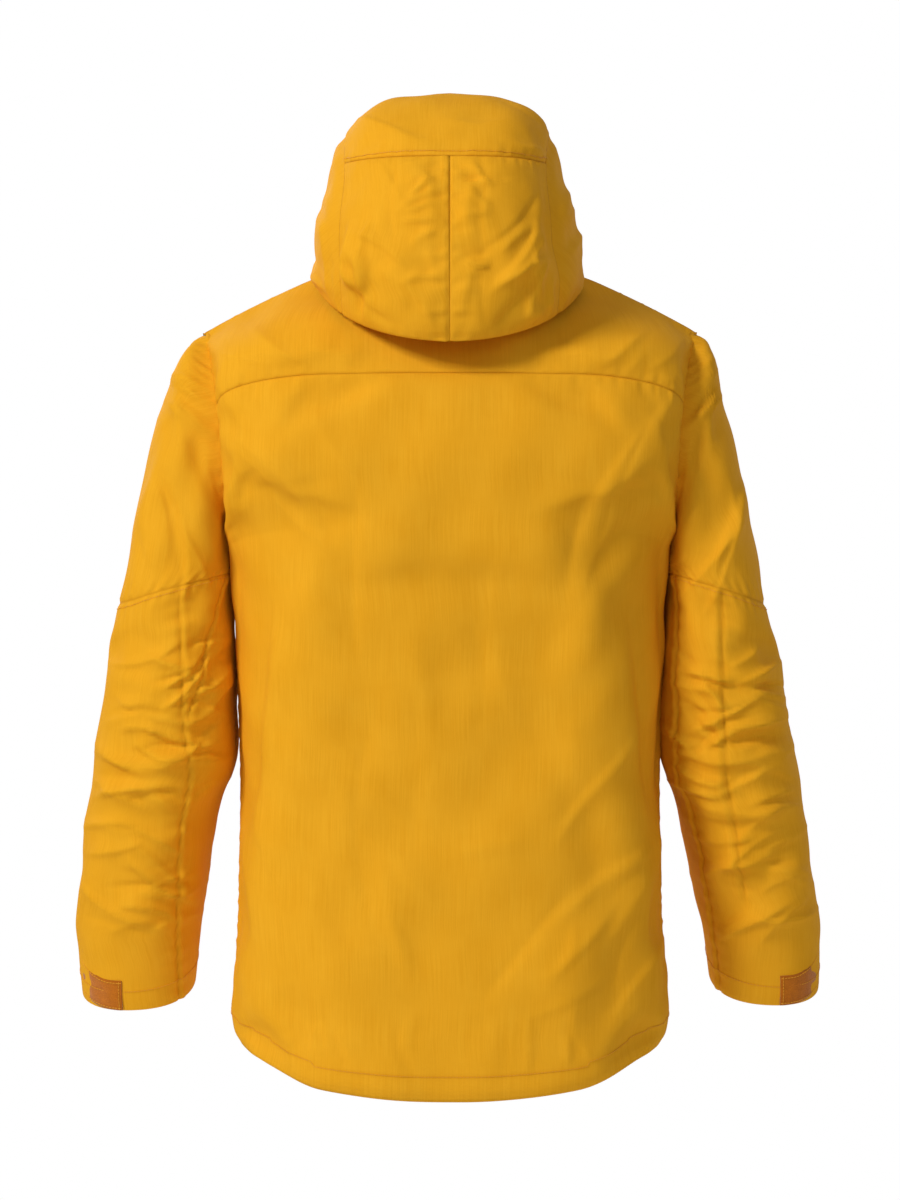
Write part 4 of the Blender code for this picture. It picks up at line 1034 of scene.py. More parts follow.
backLook = {
    # folds as x, z lines with width and height: broad drags across the blades and the lower back
    "folds": [
        (((0.205, -0.150), (0.150, -0.200), (0.120, -0.290)), 0.016, 0.0052),
        (((-0.205, -0.150), (-0.155, -0.205), (-0.125, -0.300)), 0.016, 0.0052),
        (((0.200, -0.230), (0.140, -0.290), (0.100, -0.400)), 0.020, 0.0046),
        (((-0.200, -0.240), (-0.135, -0.320), (-0.105, -0.420)), 0.020, 0.0052),
        (((0.190, -0.330), (0.120, -0.420), (0.090, -0.540)), 0.024, 0.0040),
        (((-0.190, -0.360), (-0.120, -0.440), (-0.080, -0.580)), 0.026, 0.0058),
        (((-0.060, -0.420), (-0.130, -0.520), (-0.160, -0.640)), 0.022, -0.0052),
        (((0.150, -0.560), (0.110, -0.650), (0.130, -0.740)), 0.022, 0.0046),
        (((0.060, -0.600), (0.020, -0.680), (0.030, -0.770)), 0.026, -0.0035),
        (((-0.150, -0.600), (-0.110, -0.690), (-0.140, -0.750)), 0.020, 0.0046),
        (((-0.020, -0.250), (0.010, -0.360), (-0.010, -0.480)), 0.030, -0.0029),
    ],
    "soft": (0.0019, 0.075),
    "creases": [
        {"at": (0.150, -0.230), "spread": (0.045, 0.060), "angle": 52, "sway": 14, "count": 6,
         "length": (0.06, 0.13), "height": 0.0013, "easy": 0.018, "seed": 5},
        {"at": (-0.150, -0.240), "spread": (0.045, 0.070), "angle": -56, "sway": 14, "count": 7,
         "length": (0.06, 0.13), "height": 0.0011, "easy": 0.018, "seed": 6},
        {"at": (0.120, -0.560), "spread": (0.070, 0.110), "angle": 48, "sway": 28, "count": 9,
         "length": (0.05, 0.12), "height": 0.0013, "easy": 0.016, "seed": 7},
        {"at": (-0.110, -0.600), "spread": (0.080, 0.110), "angle": -40, "sway": 30, "count": 11,
         "length": (0.05, 0.12), "height": 0.0017, "easy": 0.014, "seed": 8},
        {"at": (0.0, -0.450), "spread": (0.120, 0.200), "angle": 86, "sway": 10, "count": 9,
         "length": (0.08, 0.20), "height": 0.0014, "easy": 0.020, "seed": 9},
        {"at": (0.0, -0.735), "spread": (0.170, 0.012), "angle": 84, "sway": 24, "count": 16,
         "length": (0.02, 0.05), "height": 0.0014, "easy": 0.007, "seed": 10},
    ],
    "growth": 0.028,
    "cap": 0.006,
    "hemStitch": 0.025,
}


def ventLines(points, arc):
    # Curved tuck beside each lower corner of the back
    return foldField(points, [
        (((0.204, -0.700), (0.196, -0.735), (0.186, -0.765)), 0.0035, 0.0012),
        (((-0.204, -0.700), (-0.196, -0.735), (-0.186, -0.765)), 0.0035, 0.0012)])


backPanel = clothPanel(
    "back_panel_cloth", backSurface, (-1, 1), (0, yokeRow), shellCloth, seams=(1, 1, 0, 1),
    cell=0.0037, folds=backLook["folds"], soft=backLook["soft"], growth=backLook["growth"],
    cap=backLook["cap"], inner=liningCloth, hem=0.024,
    stitches=((2, backLook["hemStitch"]),), seed=11, extra=ventLines, hung=hungShoulder,
    creases=backLook["creases"])
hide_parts("back_panel", "hem_facing_back")

yokeLook = {
    "folds": [
        (((0.215, -0.060), (0.150, -0.080), (0.090, -0.050)), 0.012, 0.0022),
        (((-0.215, -0.060), (-0.150, -0.085), (-0.090, -0.050)), 0.012, 0.0022),
        (((0.190, -0.110), (0.120, -0.100), (0.060, -0.085)), 0.010, -0.0015),
    ],
    "creases": [
        {"at": (0.170, -0.095), "spread": (0.040, 0.025), "angle": 20, "sway": 25, "count": 6,
         "length": (0.03, 0.07), "height": 0.0018, "easy": 0.010, "seed": 15},
        {"at": (-0.170, -0.095), "spread": (0.040, 0.025), "angle": -20, "sway": 25, "count": 6,
         "length": (0.03, 0.07), "height": 0.0018, "easy": 0.010, "seed": 16},
    ],
    "growth": 0.015,
}
yoke = clothPanel(
    "back_yoke_cloth", backSurface, (-1, 1), (yokeRow, ridgeRow), shellCloth, cell=0.0042,
    folds=yokeLook["folds"], soft=(0.0010, 0.07), growth=yokeLook["growth"], cap=0.004,
    inner=liningCloth, seed=12, hung=hungShoulder, creases=yokeLook["creases"])
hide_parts("back_yoke")
print("back made")

frontLook = {
    "folds": [
        (((0.190, -0.240), (0.130, -0.300), (0.110, -0.400)), 0.018, 0.0035),
        (((0.200, -0.420), (0.130, -0.470), (0.060, -0.480)), 0.020, 0.0030),
        (((0.180, -0.620), (0.120, -0.660), (0.050, -0.700)), 0.020, 0.0030),
    ],
    "creases": [
        {"at": (0.130, -0.330), "spread": (0.060, 0.180), "angle": 35, "sway": 40, "count": 14,
         "length": (0.04, 0.09), "height": 0.0022, "easy": 0.014, "seed": 25},
        {"at": (0.120, -0.680), "spread": (0.080, 0.040), "angle": 60, "sway": 40, "count": 8,
         "length": (0.03, 0.07), "height": 0.0018, "easy": 0.012, "seed": 26},
    ],
    "growth": 0.016,
}
for side, mirrored in bothSides:
    folds = [([(-x if mirrored else x, z) for x, z in line], width, height)
             for line, width, height in frontLook["folds"]]
    made = clothPanel(
        "front_" + side + "_cloth", frontSurface, (0, 1), (0, ridgeRow), shellCloth,
        seams=(1, 1, 0, 1), cell=0.0052, folds=folds, soft=(0.0013, 0.08),
        growth=frontLook["growth"], cap=0.004, inner=liningCloth, mirrored=mirrored, hem=0.024,
        stitches=((0, 0.008), (2, 0.025)), seed=21 + mirrored, hung=hungShoulder,
        creases=frontLook["creases"])
    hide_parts("front_" + side, "hem_facing_" + side)
print("fronts made")

# Hood: crown, two backs and two sides, sewn together
hoodLook = {
    "turnFrom": (0, -0.065, -0.045),
    "turnTo": (0, -0.065, 0.125),
    "backFolds": [
        (((0.074, -0.045), (0.080, -0.015), (0.082, 0.020)), 0.005, 0.0030),
        (((0.088, -0.040), (0.092, -0.005), (0.096, 0.050)), 0.006, 0.0022),
        (((-0.076, -0.048), (-0.082, -0.010), (-0.088, 0.060)), 0.006, 0.0028),
        (((-0.062, 0.010), (-0.080, 0.040), (-0.088, 0.085)), 0.007, 0.0022),
        (((0.020, 0.100), (0.014, 0.060), (0.006, 0.035)), 0.006, 0.0024),
        (((0.022, 0.030), (0.012, 0.000), (0.005, -0.020)), 0.006, 0.0024),
        (((-0.022, 0.090), (-0.012, 0.055), (-0.005, 0.040)), 0.006, 0.0026),
        (((-0.024, 0.010), (-0.012, -0.020), (-0.005, -0.045)), 0.006, 0.0026),
        (((-0.030, 0.050), (-0.050, 0.020), (-0.060, -0.030)), 0.010, 0.0024),
    ],
    "backCreases": [
        {"at": (0.020, 0.045), "spread": (0.016, 0.065), "angle": -25, "sway": 35, "count": 12,
         "length": (0.016, 0.040), "height": 0.0026, "easy": 0.006, "seed": 45},
        {"at": (0.055, 0.030), "spread": (0.030, 0.070), "angle": 62, "sway": 40, "count": 10,
         "length": (0.03, 0.07), "height": 0.0024, "easy": 0.011, "seed": 46},
        {"at": (0.085, -0.015), "spread": (0.020, 0.040), "angle": 76, "sway": 20, "count": 7,
         "length": (0.025, 0.055), "height": 0.0028, "easy": 0.008, "seed": 47},
    ],
    "sideCreases": [
        {"at": (0.120, 0.040), "spread": (0.020, 0.060), "angle": 70, "sway": 25, "count": 8,
         "length": (0.03, 0.07), "height": 0.0022, "easy": 0.009, "seed": 48},
    ],
    "crownCreases": [
        {"at": (0.0, 0.140), "spread": (0.090, 0.030), "angle": 8, "sway": 30, "count": 9,
         "length": (0.03, 0.07), "height": 0.0012, "easy": 0.010, "seed": 49},
    ],
    "growth": 0.024,
}


def centrePucker(points, arc):
    # Short gathers either side of the hood's centre seam, and the ridge of its felled edge
    wave = np.sin(arc[2] / 0.017 * 2 * np.pi) + 0.6 * np.sin(arc[2] / 0.0105 * 2 * np.pi + 1.3)
    ridge = 0.0010 * np.exp(-((arc[0] - 0.0050) / 0.0030) ** 2) * (points[..., 0] > 0)
    return 0.0009 * wave * np.exp(-(arc[0] / 0.018) ** 2) * smooth(arc[0] / 0.008) + ridge


def hoodPiece(name, nodes, *args, **more):
    made = clothPanel(name, *args, body=None, core=coreHood, hung=hungHood, **more)
    for item in filter(None, made):
        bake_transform(item)
    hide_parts(*nodes)
    return made


hoodPiece("hood_crown_cloth", ["hood_crown"], crownSurface, (0, 1), (0, 1), shellCloth,
          seams=(1, 1, 0.6, 1), cell=0.0038, soft=(0.0010, 0.06), growth=hoodLook["growth"],
          cap=0.004, inner=liningCloth, stitches=((2, 0.016), (3, 0.005)), seed=31,
          creases=hoodLook["crownCreases"])
for side, mirrored in bothSides:
    hoodPiece("hood_back_" + side + "_cloth", ["hood_back_" + side], hoodBackSurface, (0, 1),
              (0, 1), shellCloth, seams=(0.12, 0.7, 1, 0.8), cell=0.0029,
              folds=hoodLook["backFolds"], soft=(0.0015, 0.050), growth=hoodLook["growth"],
              cap=0.005, inner=liningCloth, mirrored=mirrored, seed=33 + mirrored,
              extra=centrePucker, creases=hoodLook["backCreases"])
    hoodPiece("hood_side_" + side + "_cloth", ["hood_side_" + side, "hood_nape_" + side],
              hoodSideSurface, (0, 1), (0, 0.9985), shellCloth, seams=(0.6, 0.8, 0.8, 1),
              cell=0.0042, soft=(0.0012, 0.06), growth=hoodLook["growth"], cap=0.004,
              inner=liningCloth, mirrored=mirrored, stitches=((0, 0.016),), seed=35 + mirrored,
              creases=hoodLook["sideCreases"])
drape = clothPanel("hood_neck_drape_cloth", drapeSurface, (-0.985, 0.985), (0, 1), shellCloth,
                   seams=(0, 0, 1, 0), cell=0.005, soft=(0.0006, 0.05), body=None,
                   core=np.array([0, -0.03, -3.0]), wall=0.0014, seed=38, hung=hungHood)
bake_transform(drape[0])
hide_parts("hood_neck_drape")
print("hood made")

collar = clothPanel("collar_cloth", collarSurface, (-1, 1), (0, 1), shellCloth,
                    seams=(0.6, 0.6, 1, 0.5), cell=0.004, core=np.array([0, -0.05, 0.03]),
                    soft=(0.0006, 0.05), wall=0.0028, inner=liningCloth, stitches=((3, 0.006),),
                    seed=41)
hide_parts("collar")

# Sleeves: one tube from armhole to cuff, made in two lengths that meet above the elbow
sleeveLook = {
    "wall": 0.0032,
    "columns": 184,
    "rowMm": 2.7,
    "creases": [
        {"at": (0.262, -0.115), "spread": (0.025, 0.030), "angle": 32, "sway": 12, "count": 7,
         "length": (0.04, 0.08), "height": 0.0022, "easy": 0.008, "seed": 50},
        {"at": (0.275, -0.250), "spread": (0.030, 0.050), "angle": 74, "sway": 12, "count": 6,
         "length": (0.06, 0.12), "height": 0.0020, "easy": 0.016, "seed": 51},
        {"at": (0.290, -0.450), "spread": (0.050, 0.080), "angle": 6, "sway": 26, "count": 26,
         "length": (0.03, 0.075), "height": 0.0034, "easy": 0.011, "seed": 52},
        {"at": (0.240, -0.430), "spread": (0.022, 0.080), "angle": -30, "sway": 22, "count": 16,
         "length": (0.025, 0.055), "height": 0.0034, "easy": 0.008, "seed": 53},
        {"at": (0.305, -0.590), "spread": (0.050, 0.065), "angle": 14, "sway": 36, "count": 16,
         "length": (0.03, 0.075), "height": 0.0024, "easy": 0.012, "seed": 54},
    ],
    "growth": 0.024,
    "cap": 0.005,
    "pressure": 0.6,
    "tuck": 0.0034,          # how far the head's edge goes under the body panels
    "ringStitch": 0.006,     # rows of thread: below the ring seam, and above the cuff's end
    "cuffStitch": 0.024,
    "liftStart": (0.201, -0.045, -0.268),
    "liftEnd": (0.276, -0.045, -0.368),
    "bendStart": (0.285, -0.063, -0.425),
    "bendEnd": (0.285, -0.063, -0.525),
    # lengthwise seams as row, turn pairs
    "seams": {
        "left": [((4, 0.27), (6, 0.285), (8.5, 0.33), (11, 0.385)),
                 ((4, 0.43), (5, 0.36), (6, 0.30))],
        "right": [((4, 0.42), (6, 0.39), (8, 0.40), (11, 0.41)),
                  ((4, 0.25), (6, 0.26), (8, 0.27), (9, 0.29))],
    },
    "folds": {
        "left": [
            (((0.345, -0.385), (0.290, -0.400), (0.240, -0.385)), 0.009, 0.0050),
            (((0.352, -0.430), (0.300, -0.415), (0.235, -0.440)), 0.010, 0.0060),
            (((0.355, -0.470), (0.310, -0.480), (0.240, -0.465)), 0.009, 0.0060),
            (((0.362, -0.515), (0.310, -0.500), (0.250, -0.520)), 0.010, 0.0055),
            (((0.365, -0.560), (0.320, -0.560), (0.260, -0.545)), 0.011, 0.0045),
            (((0.330, -0.600), (0.300, -0.620), (0.270, -0.660)), 0.010, 0.0035),
            (((0.235, -0.110), (0.262, -0.160), (0.272, -0.230)), 0.010, 0.0040),
            (((0.228, -0.150), (0.245, -0.200), (0.250, -0.260)), 0.009, 0.0035),
            (((0.280, -0.150), (0.300, -0.200), (0.305, -0.260)), 0.012, 0.0030),
        ],
        "right": [
            (((-0.345, -0.375), (-0.290, -0.390), (-0.240, -0.400)), 0.009, 0.0050),
            (((-0.352, -0.425), (-0.300, -0.430), (-0.235, -0.420)), 0.010, 0.0060),
            (((-0.358, -0.480), (-0.310, -0.465), (-0.240, -0.480)), 0.009, 0.0060),
            (((-0.362, -0.520), (-0.310, -0.525), (-0.250, -0.505)), 0.010, 0.0055),
            (((-0.368, -0.565), (-0.320, -0.575), (-0.260, -0.560)), 0.011, 0.0045),
            (((-0.330, -0.610), (-0.300, -0.630), (-0.270, -0.640)), 0.010, 0.0035),
            (((-0.235, -0.110), (-0.260, -0.160), (-0.276, -0.235)), 0.010, 0.0040),
            (((-0.228, -0.160), (-0.243, -0.210), (-0.250, -0.262)), 0.009, 0.0035),
            (((-0.285, -0.140), (-0.300, -0.190), (-0.308, -0.250)), 0.012, 0.0030),
        ],
    },
}


def makeSleeve(side, mirrored):
    look = sleeveLook
    turns = np.linspace(0, 1, look["columns"] + 1) + 0.5
    probe = gridOn(sleeveSurface, turns, np.linspace(0, cuffRow, 60), mirrored)
    travel = arcs(probe)[2].mean(axis=0)
    probeRows = np.linspace(0, cuffRow, 60)
    ringAt = float(np.interp(ringRow, probeRows, travel))
    splitAt = float(np.interp(splitRow, probeRows, travel))
    total = float(travel[-1])
    step = look["rowMm"] / 1000
    fine = np.array([-0.0045, -0.0028, -0.0014, 0.0, 0.0014, 0.0028, 0.0045])
    marks = np.concatenate([fine[3:], ringAt + fine, [splitAt], total + fine[:4]])
    spare = [at for at in np.arange(0, total, step) if np.min(np.abs(marks - at)) > step * 0.6]
    passed = np.sort(np.concatenate([marks, spare]))
    rows = np.interp(passed, travel, probeRows)
    rows[-1] = cuffRow
    points = hungSleeve(hungShoulder(gridOn(sleeveSurface, turns, rows, mirrored)), side)
    core = points.mean(axis=0, keepdims=True)
    normals = closedNormals(points, core)
    coarseTurns = np.linspace(0, 1, 57) + 0.5
    coarseRows = np.interp(np.linspace(0, total, 92), travel, probeRows)
    coarse = gridOn(sleeveSurface, coarseTurns, coarseRows, mirrored)
    pins = np.zeros(coarse.shape[:2])
    pins[:, :2] = 1.0
    pins[:, -3:] = 1.0
    pins[:, int(round(ringAt / total * 91))] = 0.8
    moved = settle("sleeve_" + side, coarse, pins, look["growth"], look["pressure"], look["cap"],
                   closed=True, frames=22, bending=1.2, smoothing=3)
    shift = resample(moved, turns - 0.5, passed / total)
    distance = np.repeat(passed[None], len(turns), 0)
    girth = np.linalg.norm(np.diff(points, axis=0), axis=-1).sum(axis=0)
    around = (turns - 0.5)[:, None] * girth
    relief = np.zeros(distance.shape)
    # line: painted shade along the armhole, ring and lengthwise seams
    line = np.zeros(distance.shape)
    for at, depth in ((0.0, -0.0006), (ringAt, 0.0010)):
        gap = np.abs(distance - at)
        wave = np.sin(around / 0.014 * 2 * np.pi) + 0.7 * np.sin(around / 0.0231 * 2 * np.pi + 1)
        relief -= depth * np.exp(-(gap / 0.0018) ** 2)
        relief += 0.0006 * wave * np.exp(-(gap / 0.012) ** 2) * smooth(gap / 0.003)
        line = np.maximum(line, np.exp(-(gap / 0.0010) ** 2))
    turnGrid = np.repeat((turns % 1.0)[:, None], len(rows), 1)
    for seam in look["seams"][side]:
        path = np.interp(rows, [row for row, _ in seam], [turn for _, turn in seam])
        live = smooth((rows - seam[0][0]) * 6) * smooth((seam[-1][0] - rows) * 4 + 1)
        gap = (turnGrid - path[None]) * girth[None]
        wave = np.sin(distance / 0.015 * 2 * np.pi) + 0.6 * np.sin(distance / 0.0242 * 2 * np.pi)
        relief += live * (-0.0014 * np.exp(-(gap / 0.0022) ** 2)
                          + 0.0011 * np.exp(-((gap - 0.006) / 0.004) ** 2)
                          + 0.0006 * wave * np.exp(-(gap / 0.014) ** 2))
        line = np.maximum(line, live * np.exp(-(gap / 0.0011) ** 2))
    hold = smooth((total - distance - 0.040) / 0.04) * smooth(distance / 0.02)
    facing = 0.06 + 0.94 * np.clip(np.abs(normals[..., 1]) * 1.4, 0, 1)
    relief += foldField(points, look["folds"][side]) * facing * hold * 0.55
    relief += creaseField(points, look["creases"], mirrored) * facing * hold
    relief += 0.0011 * ripple(points, 0.060, 51 + mirrored) * hold
    # The head's edge is tucked under the body panels at the armhole
    hand = -1 if mirrored else 1
    points[..., 0] -= hand * look["tuck"] * np.exp(-(distance / 0.005) ** 2)
    outer = points + shift * hold[..., None] + normals * relief[..., None]
    outer[-1] = outer[0]
    outerNormals = closedNormals(outer, outer.mean(axis=0, keepdims=True))
    outerNormals[-1] = outerNormals[0]
    inner = outer - outerNormals * look["wall"]
    lip = (outer[:, -1:] + inner[:, -1:]) / 2 + (outer[:, -1:] - outer[:, -2:-1]) * 0.6
    allowance = np.array([-0.0060 * hand, 0, 0])
    lipTop = (outer[:, :1] + inner[:, :1]) / 2 + allowance + (inner[:, :1] - outer[:, :1]) * 0.6
    split = int(np.argmin(np.abs(passed - splitAt)))
    zero = np.zeros((len(turns), 1))
    # Each length is a tube with an outer and an inner face, closed at both of its ends
    edge = slice(split, split + 1)
    lower = (np.concatenate([outer[:, split:], lip, inner[:, split:][:, ::-1], outer[:, edge]],
                            axis=1),
             np.concatenate([outerNormals[:, split:], outer[:, -1:] - outer[:, -2:-1],
                             -outerNormals[:, split:][:, ::-1], outerNormals[:, edge]], axis=1),
             np.concatenate([line[:, split:], zero, line[:, split:][:, ::-1] * 0, zero], axis=1),
             outer.shape[1] - split)
    upper = (np.concatenate([outer[:, :split + 1][:, ::-1], lipTop, inner[:, :split + 1],
                             outer[:, edge]], axis=1),
             np.concatenate([outerNormals[:, :split + 1][:, ::-1], outerNormals[:, :1],
                             -outerNormals[:, :split + 1], outerNormals[:, edge]], axis=1),
             np.concatenate([line[:, :split + 1][:, ::-1], zero, line[:, :split + 1] * 0, zero],
                            axis=1),
             split + 1)
    made = {}
    for name, (grid, tilt, mark, outside) in (("upper", upper), ("lower", lower)):
        tilt = tilt / np.linalg.norm(tilt, axis=-1, keepdims=True)
        face = np.cross(np.gradient(grid, axis=0), np.gradient(grid, axis=1))
        if np.sum(face[:, :8] * tilt[:, :8]) < 0:
            grid, tilt, mark = grid[::-1], tilt[::-1], mark[::-1]
        title = "sleeve_" + side + "_" + name + "_cloth"
        data = patternMesh(title, grid, (("seamLine", mark), ("leaning", tilt)), closed=True,
                           keep=lambda share, outside=outside: share > outside)
        piece = newPiece(title, data, [shellCloth, liningCloth])
        lean = np.empty(len(data.vertices) * 3, np.float32)
        data.attributes["leaning"].data.foreach_get("vector", lean)
        data.normals_split_custom_set_from_vertices(lean.reshape(-1, 3).tolist())
        data.attributes.remove(data.attributes["leaning"])
        made[name] = piece
    pieces = {"upper": [made["upper"]], "lower": [made["lower"]]}
    rowsOfThread = {"upper": ringAt + look["ringStitch"], "lower": total - look["cuffStitch"]}
    for name, at in rowsOfThread.items():
        mesh = bmesh.new()
        index = int(np.argmin(np.abs(passed - at)))
        stitchRow(mesh, outer[:, index], outerNormals[:, index])
        data = bpy.data.meshes.new("sleeve_" + side + "_" + name + "_stitches")
        mesh.to_mesh(data)
        mesh.free()
        pieces[name].append(newPiece(data.name, data, [thread]))
        data.shade_flat()
    for piece in pieces["upper"]:
        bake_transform(piece)
    for piece in pieces["lower"]:
        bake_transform(piece)
    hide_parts("sleeve_" + side + "_head", "sleeve_" + side + "_cap",
                "sleeve_" + side + "_upper")
    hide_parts("sleeve_" + side + "_elbow", "sleeve_" + side + "_forearm",
                "cuff_facing_" + side)


for side, mirrored in bothSides:
    makeSleeve(side, mirrored)
print("sleeves made")

# Cuff closures: a loop patch sewn on, and a moulded tab that presses onto it
cuffLook = {
    "patchTurn": (-0.035, 0.215),
    "patchRow": (-0.94, -0.17),
    "tabTurn": (-0.300, -0.026),
    "tabRow": (-0.90, -0.24),
    "tabWall": 0.0022,
}


def patchSurface(turn, share):
    rise = (0.26 * (1 - share) + 0.08 * share) * smooth((turn - 0.02) / 0.16)
    low, high = cuffLook["patchRow"]
    return sleeveSurface(turn, cuffRow + low + (high - low) * share + rise)


def tabSurface(turn, share):
    low, high = cuffLook["tabRow"]
    last = cuffLook["tabTurn"][1]
    end = np.clip((turn - (last - 0.06)) / 0.06, 0, 1)
    narrow = np.sqrt(np.clip(1 - 0.75 * end ** 2, 0, 1))
    share = 0.5 + (share - 0.5) * narrow
    return sleeveSurface(turn, cuffRow + low + (high - low) * share)


def tabRibs(points, arc):
    # Grip ribs across the tab's free end, inside its rim
    inRim = smooth((np.minimum(arc[2], arc[3]) - 0.005) / 0.002)
    return 0.0005 * inRim * (0.5 + 0.5 * np.sign(np.sin(arc[1] / 0.008 * 2 * np.pi))) * (
        arc[1] < 0.05)


for side, mirrored in bothSides:
    hand = -1 if mirrored else 1
    core = np.array([0.313 * hand, -0.117, -0.66])
    hungHere = partial(hungSleeve, side=side)
    patch = clothPanel("cuff_loop_" + side, patchSurface, cuffLook["patchTurn"], (0, 1), loopPile,
                       seams=(0.5, 0.5, 0.5, 0.5), cell=0.003, core=core, soft=(0.0003, 0.02),
                       depth=-0.0022, wall=0.0016, mirrored=mirrored, body="forearm_" + side,
                       stitches=((0, 0.0025), (1, 0.0025), (2, 0.0025), (3, 0.0025)), seed=71,
                       pucker=0.0002, roll=0.0008, held="laid",
                       rests=["sleeve_" + side + "_lower_cloth"], hung=hungHere)
    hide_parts("cuff_loop_patch_" + side)
    tab = clothPanel("cuff_tab_" + side + "_moulded", tabSurface, cuffLook["tabTurn"], (0, 1),
                     cuffRubber, seams=(0, 0.5, 0.5, 0.5), cell=0.003, core=core,
                     soft=(0.0, 0.02), depth=-0.0054, wall=cuffLook["tabWall"], held=None,
                     mirrored=mirrored, body="cuff_tab_" + side, seed=72, pucker=0.0, roll=0.0006,
                     extra=tabRibs, hung=hungHere)
    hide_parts("cuff_tab_" + side)
print("cuffs made")

# Inside: lining, pocket bags, powder skirt and wind flap
liningBack = clothPanel("lining_back_cloth", backSurface, (-0.96, 0.96), (0.8, 10.6), liningCloth,
                        seams=(0.6, 0.6, 0.6, 0.6), cell=0.007, soft=(0.0012, 0.06),
                        depth=jacket["liningDepth"] + 0.006, wall=0.0008, seed=81)
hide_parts("lining_back")
for side, mirrored in bothSides:
    made = clothPanel("lining_" + side + "_cloth", frontSurface, (0.12, 0.96), (0.8, 10.0),
                      liningCloth, seams=(0.6, 0.6, 0.6, 0.6), cell=0.007, soft=(0.0010, 0.06),
                      depth=jacket["liningDepth"] + 0.004, wall=0.0008, mirrored=mirrored, seed=83)
    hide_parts("lining_" + side)
    made = clothPanel("pocket_bag_" + side + "_cloth", frontSurface, (0.40, 0.80), (1.5, 3.5),
                      liningCloth, seams=(0.6, 0.6, 0.6, 0.6), cell=0.007, soft=(0.0003, 0.04),
                      depth=0.0046, wall=0.0016, mirrored=mirrored, seed=85)
    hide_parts("pocket_bag_" + side)


def gathers(points, arc):
    # Elastic at the lower edge draws the skirt into small upright gathers
    wave = np.sin(arc[0] / 0.019 * 2 * np.pi) + 0.5 * np.sin(arc[0] / 0.031 * 2 * np.pi + 1)
    return 0.0016 * wave * (0.25 + 0.75 * np.exp(-(arc[2] / 0.035) ** 2))


skirt = clothPanel("powder_skirt_cloth", torsoSurface, (-0.94, 0.94), (0.75, 2.3), skirtCloth,
                   seams=(0.6, 0.6, 0.8, 0.6), cell=0.0045, soft=(0.0008, 0.05), depth=0.020,
                   wall=0.0012, seed=87, extra=gathers, held="gathered",
                   stitches=((2, 0.008), (2, 0.018)))
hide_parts("powder_skirt")

zipLook = {
    "topZ": 0.062,
    "bottomZ": -0.744,
    "pitch": 0.0016,
    "coilLength": 0.0034,
    "coilHalf": 0.0018,      # each row of turns from the zip's middle
    "coilRise": 0.0010,
    "coilRadius": 0.00075,
}


def flapSurface(across, up):
    low, high = zipLook["bottomZ"], zipLook["topZ"] - 0.004
    z = low + (high - low) * up
    return np.stack([-0.018 + 0.038 * across, frontLineY(z) + 0.0066, z], -1)


flap = clothPanel("wind_flap_cloth", flapSurface, (0, 1), (0, 1), shellCloth,
                  seams=(0.4, 0.4, 0.4, 0.4), cell=0.004, soft=(0.0003, 0.05), wall=0.0013,
                  stitches=((0, 0.005), (1, 0.005)), seed=91, roll=0.0004, pucker=0.0002)
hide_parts("wind_flap")
print("inside made")


def coilBeads(name, top, bottom, up, hand):
    # The turns of a zip's coil, one small bar for each
    mesh = bmesh.new()
    way = (bottom - top)
    total = way.length
    way.normalize()
    across = Vector((1, 0, 0))
    count = int(total / zipLook["pitch"])
    turn = Matrix((up.cross(across), up, across)).transposed().to_4x4()
    for index in range(1, count):
        centre = top + way * (index * zipLook["pitch"]) + up * 0.00025
        centre = centre + across * (hand * zipLook["coilHalf"])
        place = Matrix.Translation(centre) @ turn
        bmesh.ops.create_cone(mesh, cap_ends=True, segments=6, radius1=zipLook["coilRadius"],
                              radius2=zipLook["coilRadius"], depth=zipLook["coilLength"] * 0.62,
                              matrix=place)
    data = bpy.data.meshes.new(name)
    mesh.to_mesh(data)
    mesh.free()
    piece = newPiece(name, data, [zipCoil])
    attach(piece, "torso")
    return piece


plane = jacket["armPlaneY"]
zipTop = Vector((0, frontLineY(zipLook["topZ"]) + plane, zipLook["topZ"]))
zipBottom = Vector((0, frontLineY(zipLook["bottomZ"]) + plane, zipLook["bottomZ"]))
zipOut = Vector((0, -1, 0)) - (zipBottom - zipTop).normalized() * Vector((0, -1, 0)).dot(
    (zipBottom - zipTop).normalized())
zipOut.normalize()
for side, hand in (("left", 1), ("right", -1)):
    coilBeads("zip_coil_" + side, zipTop + zipOut * zipLook["coilRise"],
              zipBottom + zipOut * zipLook["coilRise"], zipOut, hand)

# Welts: a piped edge of shell cloth round each pocket zip
weltLook = {"radius": 0.0035, "reach": 0.0095, "gap": 0.0036, "length": 0.165, "lift": 0.0048}


